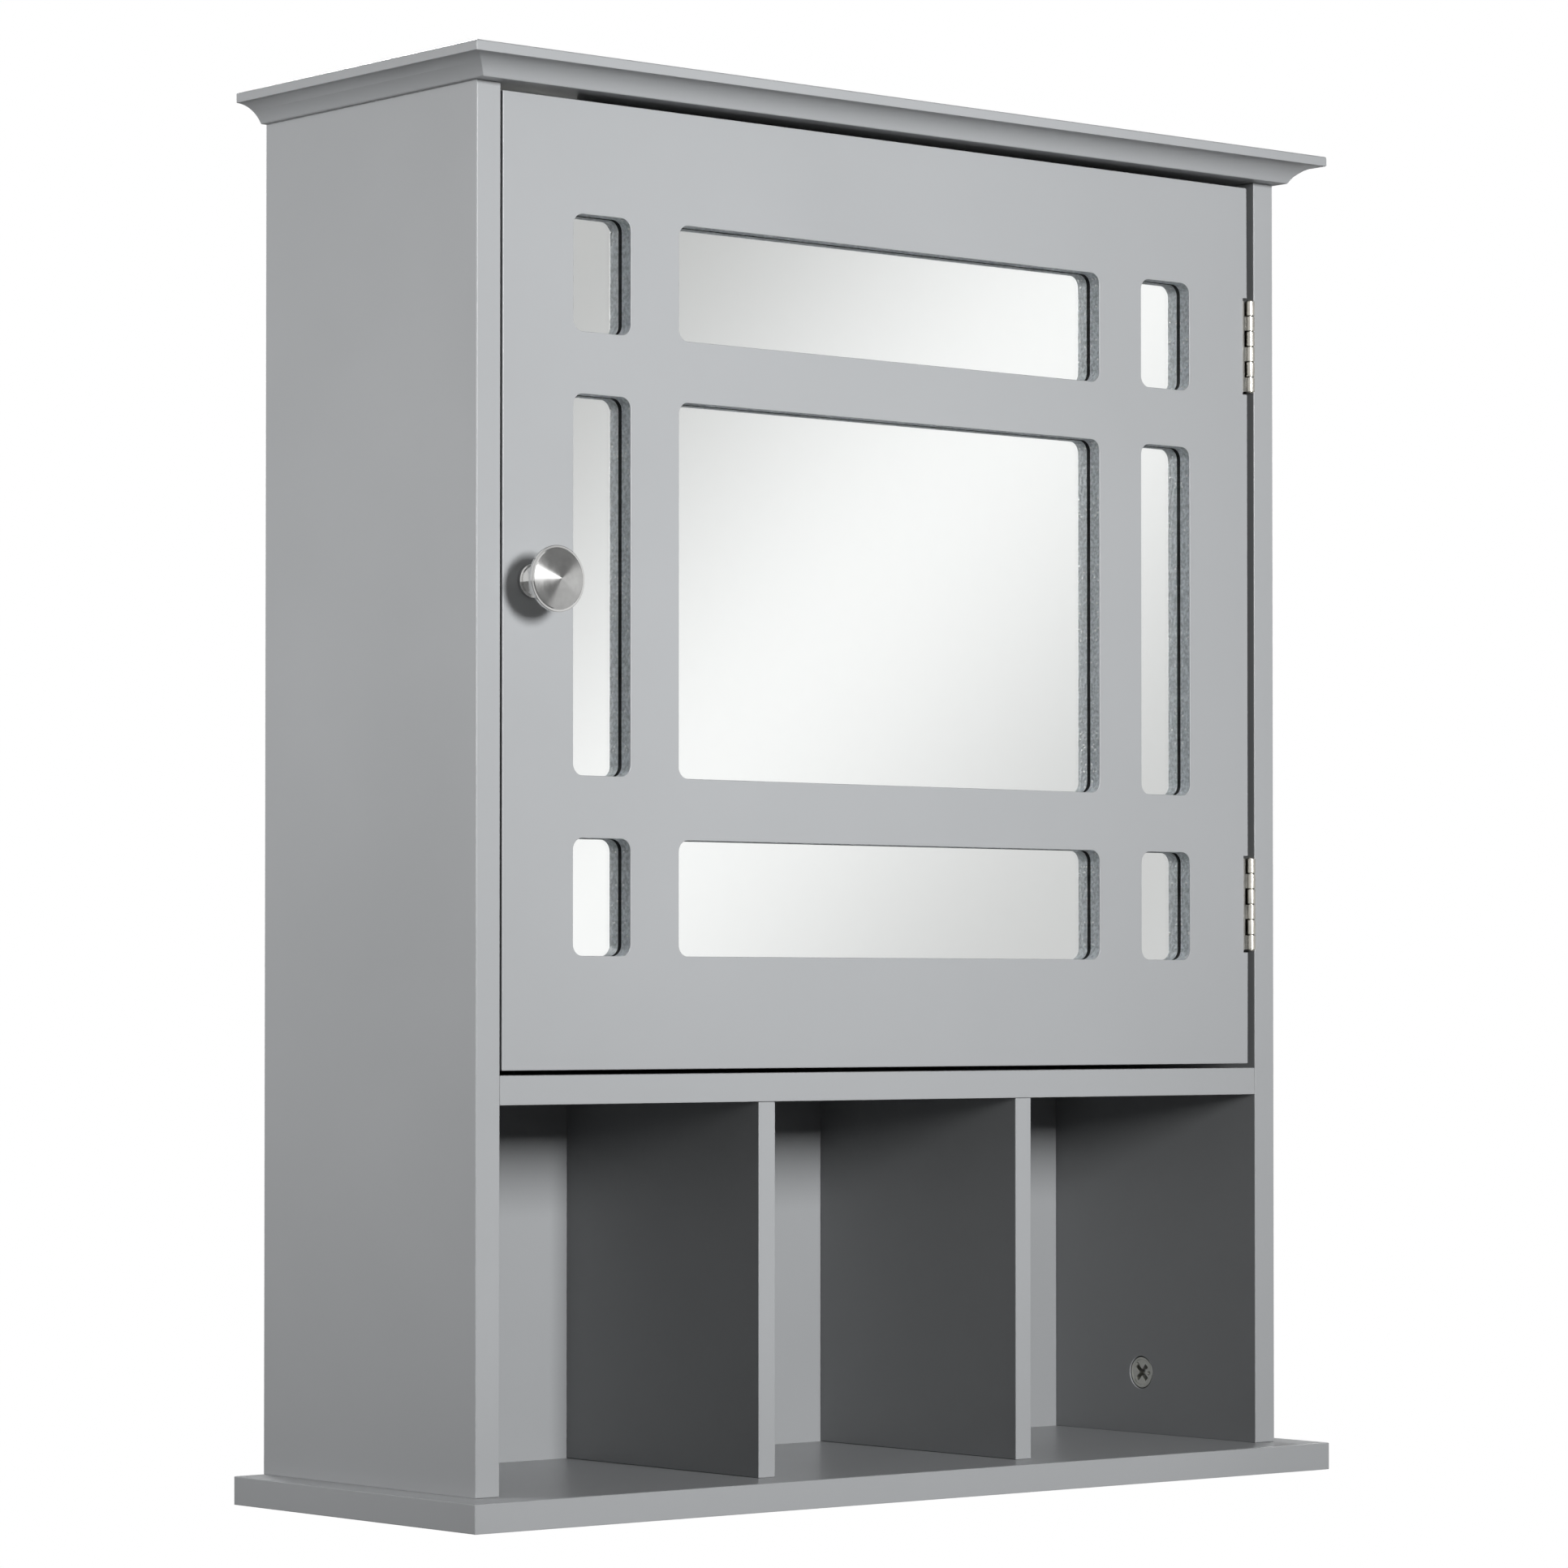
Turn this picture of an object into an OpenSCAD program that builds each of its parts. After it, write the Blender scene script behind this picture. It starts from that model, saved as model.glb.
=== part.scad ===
// Hanging wall cabinet: a mirror door over three open cubbies, hung on a rail.
// Frame: X to the right as seen from the front, Y towards the wall, Z up.
// Origin: midway between the two wall-screw holes, on the plane of the wall.

/* [Carcass] */
// Width over the top and bottom boards
overall_w = 480; // [380:5:620]
// Depth from the wall to the front edge of the top and bottom boards
overall_d = 170; // [140:5:220]
// Height over the top and bottom boards
overall_h = 595; // [490:5:760]
// Thickness of the top, bottom, side and shelf boards
board_t = 12; // [10:0.5:15]
// How far the top and bottom boards stand out past each side panel
side_overhang = 15; // [13:1:25]
// How far the top and bottom boards stand out in front of the side panels
front_overhang = 20; // [14:1:30]
// Clear height of the open cubbies
cubby_h = 157.5; // [120:0.5:200]
// Thickness of the two cubby dividers
divider_t = 9; // [8:0.5:15]
// How far the dividers stand back from the front of the fixed shelf
divider_setback = 1; // [0:0.5:10]
// Thickness of the back panel
back_t = 5; // [3:0.5:6]
// Depth of the groove that holds the back panel
groove_depth = 4; // [3:0.5:5]

/* [Crown moulding] */
// Height of the square fillet above the cove
fillet_h = 4.3; // [3:0.1:5]
// Horizontal run of the cove under the fillet
cove_run = 12.5; // [11:0.5:12.5]

/* [Rails] */
// Thickness of the rails between the back panel and the wall
rail_t = 12; // [10:0.5:15]
// Height of the upper rail, which carries the wall screws
upper_rail_h = 60; // [50:1:80]
// Height of the lower rail
lower_rail_h = 40; // [36:1:60]
// Distance between the two wall-screw holes
wall_hole_spacing = 320; // [200:5:330]
// Diameter of the wall-screw holes
wall_hole_d = 6; // [5:0.5:8]

/* [Door] */
// Thickness of the door in front of the mirror
web_t = 6; // [5:0.5:8]
// Thickness of the mirror
mirror_t = 3; // [2:0.5:5]
// Thickness of the board behind the mirror
backing_t = 3; // [2:0.5:5]
// Gap beside the door on the knob side
knob_side_gap = 1; // [0.8:0.1:3]
// Gap beside the door on the hinge side
hinge_side_gap = 4.3; // [4:0.1:5]
// Gap above the door
top_gap = 2.9; // [1:0.1:4]
// Gap below the door
bottom_gap = 1.9; // [1:0.1:4]
// Width of the door face outside the windows, left and right
stile_w = 36.2; // [34:0.1:50]
// Width of the door face outside the windows, top and bottom
end_rail_w = 46.6; // [44:0.1:60]
// Width of the narrow windows in the left and right columns
narrow_window_w = 29.6; // [20:0.1:40]
// Height of the low windows in the top and bottom rows
low_window_h = 48.1; // [30:0.1:60]
// Width of the bars between the windows
bar_w = 25.6; // [18:0.1:35]
// Corner radius of the windows
window_r = 4.8; // [2:0.1:8]
// How far the mirror reaches past the outermost windows
mirror_lap = 8; // [5:0.5:10]
// How far the backing board reaches past the mirror
backing_lap = 7; // [6:0.5:8]

/* [Hinges] */
// Length of each hinge
hinge_l = 41.5; // [36:0.5:60]
// Distance from the door's end to the middle of a hinge
hinge_inset = 72; // [45:1:90]
// Diameter of the hinge barrel
barrel_d = 4.2; // [3.4:0.1:5.1]
// Thickness of the hinge leaves
leaf_t = 1; // [0.8:0.1:1.2]
// Width of the hinge leaves behind the door's face
leaf_w = 11; // [10:0.5:11.5]
// Diameter of the hinge pin
hinge_pin_d = 2; // [1.6:0.1:2.4]
// Number of knuckles along one hinge
knuckles = 6; // [4:2:8]
// Depth of the notch in the door's edge for its leaf
notch_depth = 2.4; // [1.5:0.1:3]
// Diameter of the hinge screws
hinge_screw_d = 2.5; // [2:0.1:3]
// Length of the hinge screws
hinge_screw_l = 10; // [8:0.5:10]

/* [Knob] */
// Diameter of the knob's head
knob_d = 27; // [20:0.5:34]
// Diameter of the knob's foot
knob_foot_d = 14; // [10:0.5:18]
// How far the knob's tip stands out of the door's face
knob_l = 20.8; // [18:0.1:30]
// Distance from the door's edge to the knob's axis
knob_inset = 14.4; // [12:0.1:15]
// Diameter of the screw that holds the knob
knob_screw_d = 4; // [3:0.5:5]

/* [Adjustable shelf] */
// Height of the middle row of pin holes above the fixed shelf
pin_height = 196; // [120:1:260]
// Vertical distance between the rows of pin holes
pin_pitch = 32; // [25:1:50]
// Diameter of the shelf pins
pin_d = 5; // [4:0.5:7]
// Gap between the shelf and each side panel
shelf_side_gap = 1.5; // [1.5:0.1:3]
// Gap between the shelf's front edge and the back of the door
shelf_front_gap = 8; // [6:0.5:20]

/* [Joinery] */
// Distance from a board's end to the middle of its cam lock
cam_edge = 28; // [24:1:34]
// Diameter of the cam locks' holes
cam_hole_d = 15; // [12:0.5:18]
// Diameter of the dowels in the carcass
dowel_d = 6; // [5:0.5:8]
// Diameter of the dowels in the dividers
divider_dowel_d = 5; // [4:0.5:6]
// Distance from a cam lock to the dowel on each side of it
dowel_spread = 45; // [30:1:48]

/* [Magnetic catch] */
// Width of the catch over its two ears
catch_w = 42; // [38:1:60]
// Depth of the catch
catch_d = 13; // [12:0.5:18]
// Height of the catch
catch_h = 14; // [12.5:0.5:16]

/* [Hidden] */
$fn = 48;

// Clearances and small allowances
cut = 1;                // overrun of a cutter past the face that it opens
slip_fit = 0.05;        // radial gap of a screw, pin or dowel in its hole
groove_fit = 0.1;       // gap on each face of the back panel in its groove
groove_end_gap = 0.3;   // gap between the back panel's edge and the groove's floor
pocket_fit = 0.5;       // gap round the mirror and its backing in their pockets
rotating_gap = 0.3;     // gap between fixed and swinging hinge parts
blind_gap = 0.3;        // gap at the blind end of a hole

// Faces of the carcass
half_w = overall_w / 2;
side_out = half_w - side_overhang;
side_in = side_out - board_t;
side_mid = (side_in + side_out) / 2;
front_y = front_overhang - overall_d;
rail_front_y = -rail_t;
back_front_y = rail_front_y - back_t;
top_z = board_t + upper_rail_h / 2;
ceiling_z = top_z - board_t;
bottom_z = top_z - overall_h;
floor_z = bottom_z + board_t;
shelf_bottom_z = floor_z + cubby_h;
shelf_top_z = shelf_bottom_z + board_t;
cubby_w = (2 * side_in - 2 * divider_t) / 3;
divider_x = cubby_w / 2 + divider_t / 2;
divider_front_y = front_y + divider_setback;

// Crown moulding: an arc that leaves the fillet level and meets the underside
cove_drop = board_t - fillet_h;
cove_r = (cove_run * cove_run + cove_drop * cove_drop) / (2 * cove_drop);

// Door: its box, its window grid and the pockets in its back
door_t = web_t + mirror_t + backing_t;
door_left = -side_in + knob_side_gap;
door_right = side_in - hinge_side_gap;
door_w = door_right - door_left;
door_mid_x = (door_left + door_right) / 2;
door_bottom = shelf_top_z + bottom_gap;
door_top = ceiling_z - top_gap;
door_h = door_top - door_bottom;
door_mid_z = (door_bottom + door_top) / 2;
door_back_y = front_y + door_t;
wide_window_w = door_w - 2 * (stile_w + narrow_window_w + bar_w);
tall_window_h = door_h - 2 * (end_rail_w + low_window_h + bar_w);
window_columns = [[stile_w, narrow_window_w],
    [stile_w + narrow_window_w + bar_w, wide_window_w],
    [door_w - stile_w - narrow_window_w, narrow_window_w]];
window_rows = [[end_rail_w, low_window_h],
    [end_rail_w + low_window_h + bar_w, tall_window_h],
    [door_h - end_rail_w - low_window_h, low_window_h]];
mirror_w = door_w - 2 * (stile_w - mirror_lap);
mirror_h = door_h - 2 * (end_rail_w - mirror_lap);
backing_w = mirror_w + 2 * backing_lap;
backing_h = mirror_h + 2 * backing_lap;

// Screws of the backing board: diameter, length, head, and how they are spread
backing_screw_d = 2.5;
backing_screw_l = backing_t + web_t - 1;
backing_screw_head_d = 4.4;
backing_screw_head_h = 1;
backing_screw_x = backing_w / 2 - backing_lap / 2;
backing_screw_z = backing_h / 2 - backing_lap / 2;

// Hinges: the axis lies in the plane of the door's face
hinge_x = side_in - rotating_gap - barrel_d / 2;
hinge_y = front_y;
hinge_zs = [door_bottom + hinge_inset, door_top - hinge_inset];
knuckle_pitch = hinge_l / knuckles;
knuckle_gap = 0.35;
notch_l = hinge_l + 2;
notch_x = door_right - notch_depth;
leaf_screw_y = hinge_y + 0.6 * leaf_w;
leaf_screw_z = hinge_l / 2 - knuckle_pitch;
hinge_screw_head_d = 4.6;
hinge_screw_head_h = leaf_t - 0.1;
hinge_pin_head_d = hinge_pin_d + 1.2;
hinge_pin_head_h = 0.5;

// Knob: a turned piece, foot at its door face and a shallow cone in front
knob_x = door_left + knob_inset;
knob_z = door_mid_z;
knob_foot_h = 3;
knob_neck_d = 9;
knob_rim_h = 1.6;
knob_cone_h = 2.2;
knob_bore_l = 8;
knob_screw_l = door_t + knob_bore_l - 1;
knob_screw_head_d = 7;
knob_screw_head_h = 2.2;

// Adjustable shelf and the pins that carry it
shelf_front_y = door_back_y + shelf_front_gap;
shelf_back_y = back_front_y - 1;
shelf_half_w = side_in - shelf_side_gap;
pin_in_board = board_t - 4;
pin_tab_l = 8;
pin_tab_w = 8;
pin_tab_t = 1.6;
pin_collar_d = 8;
pin_collar_t = shelf_side_gap - 0.4;
pin_y_inset = 22;
pin_ys = [shelf_front_y + pin_y_inset, shelf_back_y - pin_y_inset];
pin_z = shelf_top_z + pin_height;
pin_rows = [pin_z - pin_pitch, pin_z, pin_z + pin_pitch];
loose_shelf_z = pin_z + pin_d / 2 + 0.1;

// Cam locks and their bolts: the bolt lies in the middle of the board
cam_y = front_y / 2;
cam_d = cam_hole_d - 0.5;
cam_recess = 0.4;
bolt_d = 6;
bolt_head_d = 6.4;
bolt_head_l = 2.4;
bolt_neck_d = 3.6;
bolt_in_face = board_t - 2.5;
bolt_hole_d = bolt_d + 0.5;
cam_bottom = board_t / 2 + bolt_head_d / 2 + 0.4;
cam_hole_depth = cam_bottom + blind_gap;
cross_l = 7.6;
cross_w = 1.5;
cross_depth = 2;

// Dowels: short end in the face of one board, long end in the edge of the other
dowel_in_face = board_t - 4;
dowel_in_edge = 17;
divider_dowel_ys = [cam_y - dowel_spread, cam_y + dowel_spread];
rail_y = -rail_t / 2;
rail_dowel_margin = 12;

// Divider screws, driven up through the bottom board
divider_screw_d = 3.5;
divider_screw_l = board_t + 18;
divider_screw_head_d = 6.6;
divider_screw_head_h = 1.8;

// Magnetic catch under the top board, on the knob side
catch_left = -side_in + 8;
catch_mid_x = catch_left + catch_w / 2;
catch_wall = 1.6;
catch_body_w = 26;
catch_ear_t = 3;
catch_pole_t = 1.2;
catch_pole_gap = 4;
catch_pole_w = catch_body_w - 2 * catch_wall;
catch_pole_proud = 0.8;
catch_magnet_recess = 1.4;
strike_t = 0.8;
strike_gap = 0.3;
strike_w = 30;
strike_h = 11;
strike_z = ceiling_z - catch_h / 2 - 2.5;
strike_screw_x = 11;
catch_front_y = door_back_y + strike_t + strike_gap + catch_pole_proud;
catch_screw_d = 3;
catch_screw_l = catch_ear_t + board_t - 5;
catch_screw_head_d = 5.6;
catch_screw_head_h = 1.8;
strike_screw_l = 8;
strike_screw_head_d = 4.4;
strike_screw_head_h = 0.7;

PAINT = "#b1b4b7";
SHADE = "#9fa2a5";
STEEL = "#c9c8c4";
ZINC = "#8b8c88";
PINE = "#d8bf92";

// ---- helpers ----

// A block between two opposite corners
module block(low, high) {
    translate(low) cube(high - low);
}

// The children on the right, and their mirror image on the left
module both_sides() {
    children();
    mirror([1, 0, 0]) children();
}

// A Phillips recess in a face at z = 0
module cross_recess(length, width, depth) {
    for (turn = [0, 90])
        rotate([0, 0, turn])
            translate([-length / 2, -width / 2, -depth]) cube([length, width, depth + cut]);
}

// A wood screw: the head's face at z = 0, the point at z = -length
module countersunk_screw(d, length, head_d, head_h) {
    tip = 1.5 * d;
    difference() {
        union() {
            translate([0, 0, -head_h]) cylinder(d1 = d, d2 = head_d, h = head_h);
            translate([0, 0, tip - length]) cylinder(d = d, h = length - tip - head_h);
            translate([0, 0, -length]) cylinder(d1 = d / 5, d2 = d, h = tip);
        }
        cross_recess(0.6 * head_d, head_d / 8, 0.6 * head_h);
    }
}

// The hole for a countersunk screw whose head sits flush with z = 0
module countersunk_hole(d, length, head_d, head_h) {
    translate([0, 0, -head_h])
        cylinder(d1 = d + 2 * slip_fit, d2 = head_d + 2 * slip_fit, h = head_h);
    cylinder(d = head_d + 2 * slip_fit, h = cut);
    translate([0, 0, -length - blind_gap]) cylinder(d = d + 2 * slip_fit, h = length);
}

// A round-headed screw: the head stands on z = 0, the shank reaches z = -length
module pan_screw(d, length, head_d, head_h) {
    difference() {
        union() {
            cylinder(d = head_d, h = head_h / 2);
            translate([0, 0, head_h / 2]) cylinder(d1 = head_d, d2 = 0.7 * head_d, h = head_h / 2);
            translate([0, 0, -length]) cylinder(d = d, h = length);
        }
        translate([0, 0, head_h]) cross_recess(0.5 * head_d, head_d / 8, 0.6 * head_h);
    }
}

module screw_shank_hole(d, length) {
    translate([0, 0, -length - blind_gap]) cylinder(d = d + 2 * slip_fit, h = length + blind_gap + cut);
}

// ---- joinery: where the fasteners sit, and the holes that they need ----

// A cam lock's own frame: the board's face at z = 0, the bolt along +X
module at_side_cams() {
    both_sides() {
        translate([side_in, cam_y, floor_z + cam_edge]) rotate([180, 90, 0]) children();
        translate([side_in, cam_y, ceiling_z - cam_edge]) rotate([0, -90, 0]) children();
    }
}

module at_shelf_cams() {
    both_sides()
        translate([side_in - cam_edge, cam_y, shelf_bottom_z]) rotate([180, 0, 0]) children();
}

// A dowel's own frame: the joint at z = 0, the edge-drilled board towards +Z
module at_side_dowels() {
    both_sides()
        for (y = [cam_y - dowel_spread, cam_y + dowel_spread]) {
            translate([side_mid, y, floor_z]) children();
            translate([side_mid, y, ceiling_z]) rotate([180, 0, 0]) children();
        }
}

module at_shelf_dowels() {
    both_sides()
        for (y = [cam_y - dowel_spread, cam_y + dowel_spread])
            translate([side_in, y, shelf_bottom_z + board_t / 2]) rotate([0, -90, 0]) children();
}

module at_divider_dowels() {
    both_sides()
        for (y = divider_dowel_ys)
            translate([divider_x, y, shelf_bottom_z]) rotate([180, 0, 0]) children();
}

module at_rail_dowels() {
    both_sides()
        for (z = [-upper_rail_h / 2 + rail_dowel_margin, upper_rail_h / 2 - rail_dowel_margin,
                floor_z + rail_dowel_margin, floor_z + lower_rail_h - rail_dowel_margin])
            translate([side_in, rail_y, z]) rotate([0, -90, 0]) children();
}

module cam_lock() {
    difference() {
        translate([0, 0, -cam_bottom]) cylinder(d = cam_d, h = cam_bottom - cam_recess);
        translate([0, 0, -cam_recess]) rotate([0, 0, 45]) cross_recess(cross_l, cross_w, cross_depth);
        translate([0, 0, -board_t / 2]) rotate([0, 90, 0]) {
            cylinder(d = bolt_neck_d + 0.6, h = cam_d);
            translate([0, 0, -bolt_head_l / 2 - blind_gap])
                cylinder(d = bolt_head_d + 0.4, h = bolt_head_l + 2 * blind_gap);
        }
    }
}

module cam_bolt() {
    translate([0, 0, -board_t / 2]) rotate([0, 90, 0]) {
        translate([0, 0, -bolt_head_l / 2]) cylinder(d = bolt_head_d, h = bolt_head_l);
        cylinder(d = bolt_neck_d, h = cam_hole_d / 2 + 2);
        translate([0, 0, cam_hole_d / 2 + 1])
            cylinder(d = bolt_d, h = cam_edge + bolt_in_face - cam_hole_d / 2 - 1);
    }
}

module cam_bore() {
    translate([0, 0, -cam_hole_depth]) cylinder(d = cam_hole_d, h = cam_hole_depth + cut);
    translate([0, 0, -board_t / 2]) rotate([0, 90, 0]) {
        cylinder(d = bolt_hole_d, h = cam_edge);
        cylinder(d = bolt_d + 2 * slip_fit, h = cam_edge + bolt_in_face + blind_gap);
    }
}

module dowel(d) {
    translate([0, 0, blind_gap - dowel_in_face])
        cylinder(d = d, h = dowel_in_face + dowel_in_edge - 2 * blind_gap);
}

module dowel_bore(d) {
    translate([0, 0, -dowel_in_face])
        cylinder(d = d + 2 * slip_fit, h = dowel_in_face + dowel_in_edge);
}

module back_groove() {
    block([-side_in - groove_depth, back_front_y - groove_fit, floor_z - groove_depth],
        [side_in + groove_depth, rail_front_y + groove_fit, ceiling_z + groove_depth]);
}

module at_divider_screws() {
    both_sides()
        for (y = divider_dowel_ys)
            translate([divider_x, y, bottom_z]) rotate([180, 0, 0]) children();
}

// ---- carcass ----

module cove_cutters() {
    z = top_z - fillet_h - cove_r;
    translate([-half_w - cut, -overall_d, z]) rotate([0, 90, 0])
        cylinder(r = cove_r, h = overall_w + 2 * cut);
    both_sides()
        translate([half_w, cut, z]) rotate([90, 0, 0]) cylinder(r = cove_r, h = overall_d + 2 * cut);
}

module top_board() {
    color(PAINT) difference() {
        block([-half_w, -overall_d, ceiling_z], [half_w, 0, top_z]);
        cove_cutters();
        back_groove();
        at_side_cams() cam_bore();
        at_side_dowels() dowel_bore(dowel_d);
        at_catch_screws() screw_shank_hole(catch_screw_d, catch_screw_l);
    }
}

module bottom_board() {
    color(PAINT) difference() {
        block([-half_w, -overall_d, bottom_z], [half_w, 0, floor_z]);
        back_groove();
        at_side_cams() cam_bore();
        at_side_dowels() dowel_bore(dowel_d);
        at_divider_screws() countersunk_hole(divider_screw_d, divider_screw_l,
            divider_screw_head_d, divider_screw_head_h);
    }
}

module side_panel_bores() {
    at_side_cams() cam_bore();
    at_shelf_cams() cam_bore();
    at_side_dowels() dowel_bore(dowel_d);
    at_shelf_dowels() dowel_bore(dowel_d);
    at_rail_dowels() dowel_bore(dowel_d);
    for (y = pin_ys, z = pin_rows)
        both_sides()
            translate([side_in - cut, y, z]) rotate([0, 90, 0])
                cylinder(d = pin_d + 2 * slip_fit, h = pin_in_board + blind_gap + cut);
}

module side_panel_right() {
    color(PAINT) difference() {
        block([side_in, front_y, floor_z], [side_out, 0, ceiling_z]);
        back_groove();
        side_panel_bores();
        at_cabinet_leaf_screws() screw_shank_hole(hinge_screw_d, hinge_screw_l);
    }
}

module side_panel_left() {
    color(PAINT) difference() {
        block([-side_out, front_y, floor_z], [-side_in, 0, ceiling_z]);
        back_groove();
        side_panel_bores();
    }
}

module fixed_shelf() {
    color(PAINT) difference() {
        block([-side_in, front_y, shelf_bottom_z], [side_in, back_front_y, shelf_top_z]);
        at_shelf_cams() cam_bore();
        at_shelf_dowels() dowel_bore(dowel_d);
        at_divider_dowels() dowel_bore(divider_dowel_d);
    }
}

module divider_right() {
    color(PAINT) difference() {
        block([divider_x - divider_t / 2, divider_front_y, floor_z],
            [divider_x + divider_t / 2, back_front_y, shelf_bottom_z]);
        at_divider_dowels() dowel_bore(divider_dowel_d);
        at_divider_screws() screw_shank_hole(divider_screw_d, divider_screw_l);
    }
}

module divider_left() {
    mirror([1, 0, 0]) divider_right();
}

module wall_holes() {
    for (x = [-wall_hole_spacing / 2, wall_hole_spacing / 2])
        translate([x, cut, 0]) rotate([90, 0, 0])
            cylinder(d = wall_hole_d, h = rail_t + back_t + 2 * cut);
}

module back_panel() {
    half = side_in + groove_depth - groove_end_gap;
    reach = groove_depth - groove_end_gap;
    color(SHADE) difference() {
        block([-half, back_front_y, floor_z - reach], [half, rail_front_y, ceiling_z + reach]);
        wall_holes();
    }
}

module hanging_rail() {
    color(PAINT) difference() {
        block([-side_in, rail_front_y, -upper_rail_h / 2], [side_in, 0, upper_rail_h / 2]);
        wall_holes();
        at_rail_dowels() dowel_bore(dowel_d);
    }
}

module lower_rail() {
    color(PAINT) difference() {
        block([-side_in, rail_front_y, floor_z], [side_in, 0, floor_z + lower_rail_h]);
        at_rail_dowels() dowel_bore(dowel_d);
    }
}

module adjustable_shelf() {
    color(PAINT)
        block([-shelf_half_w, shelf_front_y, loose_shelf_z],
            [shelf_half_w, shelf_back_y, loose_shelf_z + board_t]);
}

// A spoon pin: a peg in the side panel, a collar, and a flat tab under the shelf
module shelf_pin() {
    rotate([0, 90, 0]) {
        cylinder(d = pin_d, h = pin_in_board);
        translate([0, 0, -pin_collar_t]) cylinder(d = pin_collar_d, h = pin_collar_t);
    }
    block([-pin_tab_l, -pin_tab_w / 2, pin_d / 2 - pin_tab_t], [0, pin_tab_w / 2, pin_d / 2]);
}

module shelf_pins() {
    color(STEEL)
        both_sides()
            for (y = pin_ys) translate([side_in, y, pin_z]) shelf_pin();
}

// ---- door ----

// A rounded window through the door, made of true cylinders and two blocks
module window_cutter(x, z, w, h) {
    low_y = front_y - cut;
    high_y = door_back_y + cut;
    block([x + window_r, low_y, z], [x + w - window_r, high_y, z + h]);
    block([x, low_y, z + window_r], [x + w, high_y, z + h - window_r]);
    for (cx = [x + window_r, x + w - window_r], cz = [z + window_r, z + h - window_r])
        translate([cx, high_y, cz]) rotate([90, 0, 0]) cylinder(r = window_r, h = high_y - low_y);
}

// A pocket of a given size, open to the back of the door
module door_pocket(w, h, floor_y) {
    block([door_mid_x - w / 2 - pocket_fit, floor_y, door_mid_z - h / 2 - pocket_fit],
        [door_mid_x + w / 2 + pocket_fit, door_back_y + cut, door_mid_z + h / 2 + pocket_fit]);
}

module door_frame() {
    color(PAINT) difference() {
        block([door_left, front_y, door_bottom], [door_right, door_back_y, door_top]);
        for (column = window_columns, row = window_rows)
            window_cutter(door_left + column[0], door_bottom + row[0], column[1], row[1]);
        door_pocket(mirror_w, mirror_h, front_y + web_t);
        door_pocket(backing_w, backing_h, front_y + web_t + mirror_t);
        for (z = hinge_zs)
            block([notch_x, front_y - cut, z - notch_l / 2], [door_right + cut, door_back_y + cut, z + notch_l / 2]);
        at_door_leaf_screws() screw_shank_hole(hinge_screw_d, hinge_screw_l);
        at_backing_screws() screw_shank_hole(backing_screw_d, backing_screw_l);
        at_strike_screws() screw_shank_hole(catch_screw_d, strike_screw_l);
        translate([knob_x, front_y - cut, knob_z]) rotate([-90, 0, 0])
            cylinder(d = knob_screw_d + 2 * slip_fit, h = door_t + 2 * cut);
    }
}

module mirror_sheet(w, h, low_y, high_y) {
    block([door_mid_x - w / 2, low_y, door_mid_z - h / 2],
        [door_mid_x + w / 2, high_y, door_mid_z + h / 2]);
}

module mirror_glass() {
    color("#e8ebee") mirror_sheet(mirror_w, mirror_h, front_y + web_t, front_y + web_t + mirror_t);
}

module mirror_backing() {
    color("#8a6a48") difference() {
        mirror_sheet(backing_w, backing_h, front_y + web_t + mirror_t, door_back_y);
        at_backing_screws()
            countersunk_hole(backing_screw_d, backing_screw_l, backing_screw_head_d, backing_screw_head_h);
    }
}

// Ten screws round the backing board, heads towards the cabinet
module at_backing_screws() {
    places = concat(
        [for (x = [-1, 0, 1], z = [-1, 1]) [x * backing_screw_x, z * backing_screw_z]],
        [for (x = [-1, 1], z = [-1, 1]) [x * backing_screw_x, z * backing_screw_z / 3]]);
    for (place = places)
        translate([door_mid_x + place[0], door_back_y, door_mid_z + place[1]])
            rotate([-90, 0, 0]) children();
}

module backing_screws() {
    color(STEEL)
        at_backing_screws()
            countersunk_screw(backing_screw_d, backing_screw_l, backing_screw_head_d, backing_screw_head_h);
}

// The knob's outline from its axis outwards, foot at zero height
module knob_profile() {
    rim_low = knob_l - knob_cone_h - knob_rim_h;
    neck_r = knob_neck_d / 2;
    polygon([[0, 0], [knob_foot_d / 2, 0], [knob_foot_d / 2, knob_foot_h - 1],
        [knob_foot_d / 2 - 1, knob_foot_h], [neck_r, knob_foot_h + 3], [neck_r, rim_low - 5],
        [knob_d / 2 - 1, rim_low - 0.6], [knob_d / 2, rim_low], [knob_d / 2, rim_low + knob_rim_h],
        [0, knob_l]]);
}

module knob() {
    color(STEEL)
        translate([knob_x, front_y, knob_z]) rotate([90, 0, 0]) difference() {
            rotate_extrude() knob_profile();
            translate([0, 0, -cut]) cylinder(d = knob_screw_d + 2 * slip_fit, h = knob_bore_l + cut);
        }
}

module knob_screw() {
    color(STEEL)
        translate([knob_x, door_back_y, knob_z]) rotate([-90, 0, 0])
            pan_screw(knob_screw_d, knob_screw_l, knob_screw_head_d, knob_screw_head_h);
}

// ---- hinges ----

// Every second knuckle from the bottom: the door's start at 0, the cabinet's at 1
module knuckle_row(first) {
    for (i = [first : 2 : knuckles - 1])
        translate([0, 0, i * knuckle_pitch - hinge_l / 2 + knuckle_gap / 2]) children();
}

module hinge_bore() {
    translate([0, 0, -hinge_l]) cylinder(d = hinge_pin_d + 2 * slip_fit, h = 2 * hinge_l);
}

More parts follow.
